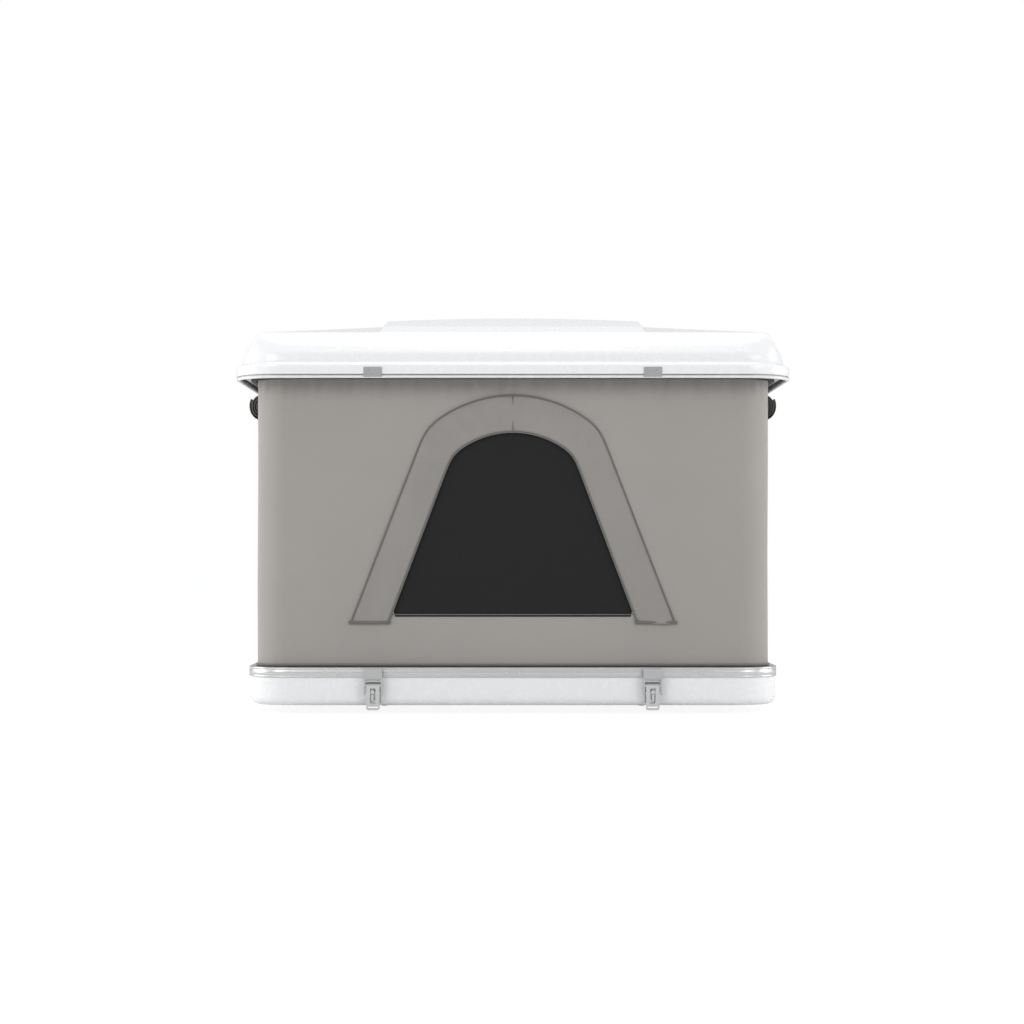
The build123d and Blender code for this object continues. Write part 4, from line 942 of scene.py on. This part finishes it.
# ---------------------------------------------------------------- operators
class TENT_OT_lid(bpy.types.Operator):
    """Makes the moulded lid with its raised panel, and the round trim along its lip"""
    bl_idname, bl_label = "tent.lid", "Lid"

    def execute(self, context):
        settle(build_lid(), "lid", "shell", "shell", "lid_shell")
        t = TRIM_BOTTOM
        bead = [(-0.0118, t + 0.0105), (-0.0118, t + 0.0015), (-0.0100, t), (-0.0045, t), (-0.0022, t + 0.0006),
                (-0.0006, t + 0.0022), (0.0, t + 0.0042), (-0.0006, t + 0.0062), (-0.0022, t + 0.0076),
                (-0.0046, t + 0.0082), (-0.0050, t + 0.0105)]
        settle(swept_round("lip_trim", LID_X, LID_Y, LID_CORNER, bead), "lid", "trim", "trim", "lid_trim")
        return {"FINISHED"}


class TENT_OT_walls(bpy.types.Operator):
    """Makes the fabric wall, and the piping at its foot"""
    bl_idname, bl_label = "tent.walls", "Walls"

    def execute(self, context):
        wall, flat, area = build_wall()
        settle(wall, "root", "wall_fabric", "wall_fabric", "fabric_wall")
        points, normals, _ = rounded_path(WALL_X, WALL_Y, WALL_CORNER, 0.05, 12)
        ring = np.column_stack([points + normals * 0.0005, np.full(len(points), WALL_BOTTOM + 0.0045)])
        foot = settle(tube("wall_foot_piping", ring, 0.0032, 8, closed=True), "root", "binding", "wall_fabric")
        folding(wall)
        folding(foot)
        return {"FINISHED"}


class TENT_OT_windows(bpy.types.Operator):
    """Makes the net, the sewn band, its piping, seams and hems at both ends"""
    bl_idname, bl_label = "tent.windows", "End windows"

    def execute(self, context):
        radius = context.scene.tent_sizes.piping
        for end_name, side in (("front", -1), ("rear", 1)):
            net, net_area = build_net(f"window_net_{end_name}", WINDOW, side, 1)
            settle(net, "root", "mesh", "mesh", f"window_mesh_{end_name}")
            band, run, band_area = build_band(end_name, side)
            settle(band, "root", "band_fabric", "band_fabric", f"window_band_{end_name}")
            details = []
            for label, arch, size, out in (("inner", BAND_INNER, radius, 0.0030), ("outer", BAND, radius * 0.85, 0.0028)):
                line = along_arch(arch.path(64, 60, True), out, side, True)
                details.append(tube(f"window_piping_{label}_{end_name}", line, size, 8))
            for sign, label in ((-1, "left"), (1, "right")):
                hem = on_wall(sign * np.linspace(0.352, 0.468, 9), 0.2605 + 0 * np.arange(9.0), 0.0040, side, True)
                details.append(tube(f"band_hem_{label}_{end_name}", hem, 0.0048, 10, flat=0.8))
            seam = on_wall(0 * np.arange(9.0), np.linspace(0.809, 0.908, 9), 0.0062, side, True)
            details.append(tube(f"band_seam_{end_name}", seam, 0.0011, 6))
            lower = on_wall(np.linspace(-0.346, 0.346, 30), 0.2825 + 0 * np.arange(30.0), -0.0022, side, True)
            details.append(tube(f"net_hem_{end_name}", lower, 0.0016, 6))
            for piece in details:
                settle(piece, "root", "binding", "band_fabric")
                folding(piece)
            folding(net)
            folding(band)
        return {"FINISHED"}


class TENT_OT_doors(bpy.types.Operator):
    """Makes the side doors' nets and piping, the rolled covers, their straps and buckles"""
    bl_idname, bl_label = "tent.doors", "Side doors"

    def execute(self, context):
        radius = context.scene.tent_sizes.piping
        strap_pieces = []
        for side_name, side in (("left", -1), ("right", 1)):
            net, net_area = build_net(f"door_net_{side_name}", DOOR, side, 0)
            settle(net, "root", "mesh", "mesh", f"door_mesh_{side_name}")
            folding(net)
            outline = DOOR.path(40, 48)
            loop = np.concatenate([outline, np.column_stack([np.linspace(DOOR.foot, -DOOR.foot, 26)[1:-1],
                                                             np.full(24, DOOR.foot_z)])])
            piping = tube(f"door_piping_{side_name}", along_arch(loop, 0.0006, side, False), radius, 8, closed=True)
            folding(settle(piping, "root", "binding", "band_fabric"))
            roll, flat, area = build_roll(f"door_cover_{side_name}", side)
            settle(roll, "root", "wall_fabric", "wall_fabric", f"door_roll_{side_name}")
            belts = []
            for end_name, y in (("front", -STRAP_Y), ("rear", STRAP_Y)):
                strap, run = build_strap(f"cover_strap_{side_name}_{end_name}", side, y)
                settle(strap, "root", "webbing", "webbing")
                belts.append(strap)
                belts += [settle(b, "root", "buckle", "webbing") for b in build_buckle(f"strap_buckle_{side_name}_{end_name}", side, y)]
            for piece in [roll] + belts:
                folding(piece)
            strap_pieces += belts
        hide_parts("roll_straps")
        return {"FINISHED"}


class TENT_OT_base(bpy.types.Operator):
    """Makes the aluminium rim"""
    bl_idname, bl_label = "tent.base", "Base"

    def execute(self, context):
        settle(swept_round("rim_extrusion", RIM_X, RIM_Y, RIM_CORNER, rim_outline(), 0.1), "root", "rim", "rim",
               "rim_profile")
        return {"FINISHED"}


class TENT_OT_inside(bpy.types.Operator):
    """Makes the quilted lining under the roof and the mattress on the floor"""
    bl_idname, bl_label = "tent.inside", "Inside"

    def execute(self, context):
        lining, area = build_liner()
        settle(lining, "lid", "liner", "liner", "lid_liner")
        pad = build_mattress()
        settle(pad, "root", "mattress", "mattress", "mattress")
        return {"FINISHED"}


class TENT_OT_hardware(bpy.types.Operator):
    """Gives each CAD part that stays its finish from its material slot"""
    bl_idname, bl_label = "tent.hardware", "Hardware finishes"

    def execute(self, context):
        slots = {part["node"]: part["material_slot"] for part in RECORD["subparts"]}
        for name, node in frame["nodes"].items():
            material = finish(slots[name])
            if not node.material_slots:
                node.data.materials.append(material)
            for held in node.material_slots:
                held.material = material
        return {"FINISHED"}


class TENT_OT_studio(bpy.types.Operator):
    """Makes the pale floor and backdrop, soft lights and the camera"""
    bl_idname, bl_label = "tent.studio", "Studio"

    def execute(self, context):
        scene = context.scene
        world = bpy.data.worlds.new("studio") if scene.world is None else scene.world
        scene.world = world
        world.use_nodes = True
        tree = world.node_tree
        tree.nodes.clear()
        seen = tree.nodes.new("ShaderNodeLightPath")
        plain, white = tree.nodes.new("ShaderNodeBackground"), tree.nodes.new("ShaderNodeBackground")
        plain.inputs["Color"].default_value, plain.inputs["Strength"].default_value = (0.96, 0.98, 1.0, 1), 0.62
        white.inputs["Color"].default_value, white.inputs["Strength"].default_value = (1, 1, 1, 1), 1.0
        either = tree.nodes.new("ShaderNodeMath")
        either.operation = "MAXIMUM"
        tree.links.new(seen.outputs["Is Camera Ray"], either.inputs[0])
        tree.links.new(seen.outputs["Is Transmission Ray"], either.inputs[1])
        mix, out = tree.nodes.new("ShaderNodeMixShader"), tree.nodes.new("ShaderNodeOutputWorld")
        tree.links.new(either.outputs[0], mix.inputs[0])
        tree.links.new(plain.outputs[0], mix.inputs[1])
        tree.links.new(white.outputs[0], mix.inputs[2])
        tree.links.new(mix.outputs[0], out.inputs[0])

        reach = 60.0
        floor = surface("studio_floor", np.array([[-reach, -reach, -0.0005], [reach, -reach, -0.0005],
                                                  [reach, reach, -0.0005], [-reach, reach, -0.0005]]), [[0, 1, 2, 3]])
        made = Finish("studio_floor", roughness=0.9)
        made.colour((0.90, 0.90, 0.90))
        pale = made.node("ShaderNodeEmission", None, {"Color": (1, 1, 1, 1), "Strength": 1.07})
        light = made.node("ShaderNodeLightPath", out="Is Camera Ray")
        output = made.tree.nodes["Material Output"]
        blend = made.tree.nodes.new("ShaderNodeMixShader")
        made.tree.links.new((light * 0.86).socket, blend.inputs[0])
        made.tree.links.new(made.shader.outputs[0], blend.inputs[1])
        made.tree.links.new(pale.socket, blend.inputs[2])
        made.tree.links.new(blend.outputs[0], output.inputs["Surface"])
        floor.data.materials.append(made.material)

        for name, place, target, size, energy in (
                ("key_light", (-3.2, -5.6, 3.8), (0, 0, 0.6), 3.2, 96.0),
                ("fill_light", (3.4, -5.2, 3.0), (0, 0, 0.6), 3.2, 70.0),
                ("left_light", (-5.0, -0.6, 1.6), (0, -0.6, 0.6), 2.6, 120.0),
                ("right_light", (5.0, -0.6, 1.6), (0, -0.6, 0.6), 2.6, 90.0),
                ("top_light", (0.0, 0.0, 5.2), (0, 0, 0), 4.0, 120.0)):
            lamp = bpy.data.lights.new(name, "AREA")
            lamp.shape, lamp.size, lamp.energy = "DISK", size, energy
            holder = bpy.data.objects.new(name, lamp)
            holder.location = place
            holder.rotation_euler = (Vector(target) - Vector(place)).to_track_quat("-Z", "Y").to_euler()
            scene.collection.objects.link(holder)

        lens = bpy.data.cameras.new("camera")
        lens.lens, lens.sensor_width, lens.sensor_fit = 72.0, 36.0, "HORIZONTAL"
        lens.shift_x, lens.shift_y = -0.0008, 0.039
        lens.clip_end = 300.0
        lens.dof.use_dof = False
        camera = bpy.data.objects.new("camera", lens)
        camera.location = (0.0, -6.85, 0.462)
        camera.rotation_euler = (math.radians(90), 0, 0)
        scene.collection.objects.link(camera)
        scene.camera = camera
        scene.view_settings.view_transform = "Standard"
        return {"FINISHED"}


OPERATORS = (TENT_OT_hardware, TENT_OT_base, TENT_OT_walls, TENT_OT_windows, TENT_OT_doors, TENT_OT_lid,
             TENT_OT_inside, TENT_OT_studio)


class TENT_PT_panel(bpy.types.Panel):
    """Lists the tent's pieces, colours and sizes"""
    bl_idname, bl_label = "TENT_PT_panel", "Roof tent"
    bl_space_type, bl_region_type, bl_category = "VIEW_3D", "UI", "Roof tent"

    def draw(self, context):
        for operator in OPERATORS:
            self.layout.operator(operator.bl_idname)
        for group in (context.scene.tent_colours, context.scene.tent_sizes):
            for key in group.__annotations__:
                self.layout.prop(group, key)


CLASSES = (TentColours, TentSizes, *OPERATORS, TENT_PT_panel)


def register():
    for one in CLASSES:
        bpy.utils.register_class(one)
    bpy.types.Scene.tent_colours = bpy.props.PointerProperty(type=TentColours)
    bpy.types.Scene.tent_sizes = bpy.props.PointerProperty(type=TentSizes)


def unregister():
    del bpy.types.Scene.tent_sizes
    del bpy.types.Scene.tent_colours
    for one in reversed(CLASSES):
        bpy.utils.unregister_class(one)


def main():
    register()
    for operator in OPERATORS:
        group, name = operator.bl_idname.split(".")
        getattr(getattr(bpy.ops, group), name)()


if __name__ == "__main__":
    main()
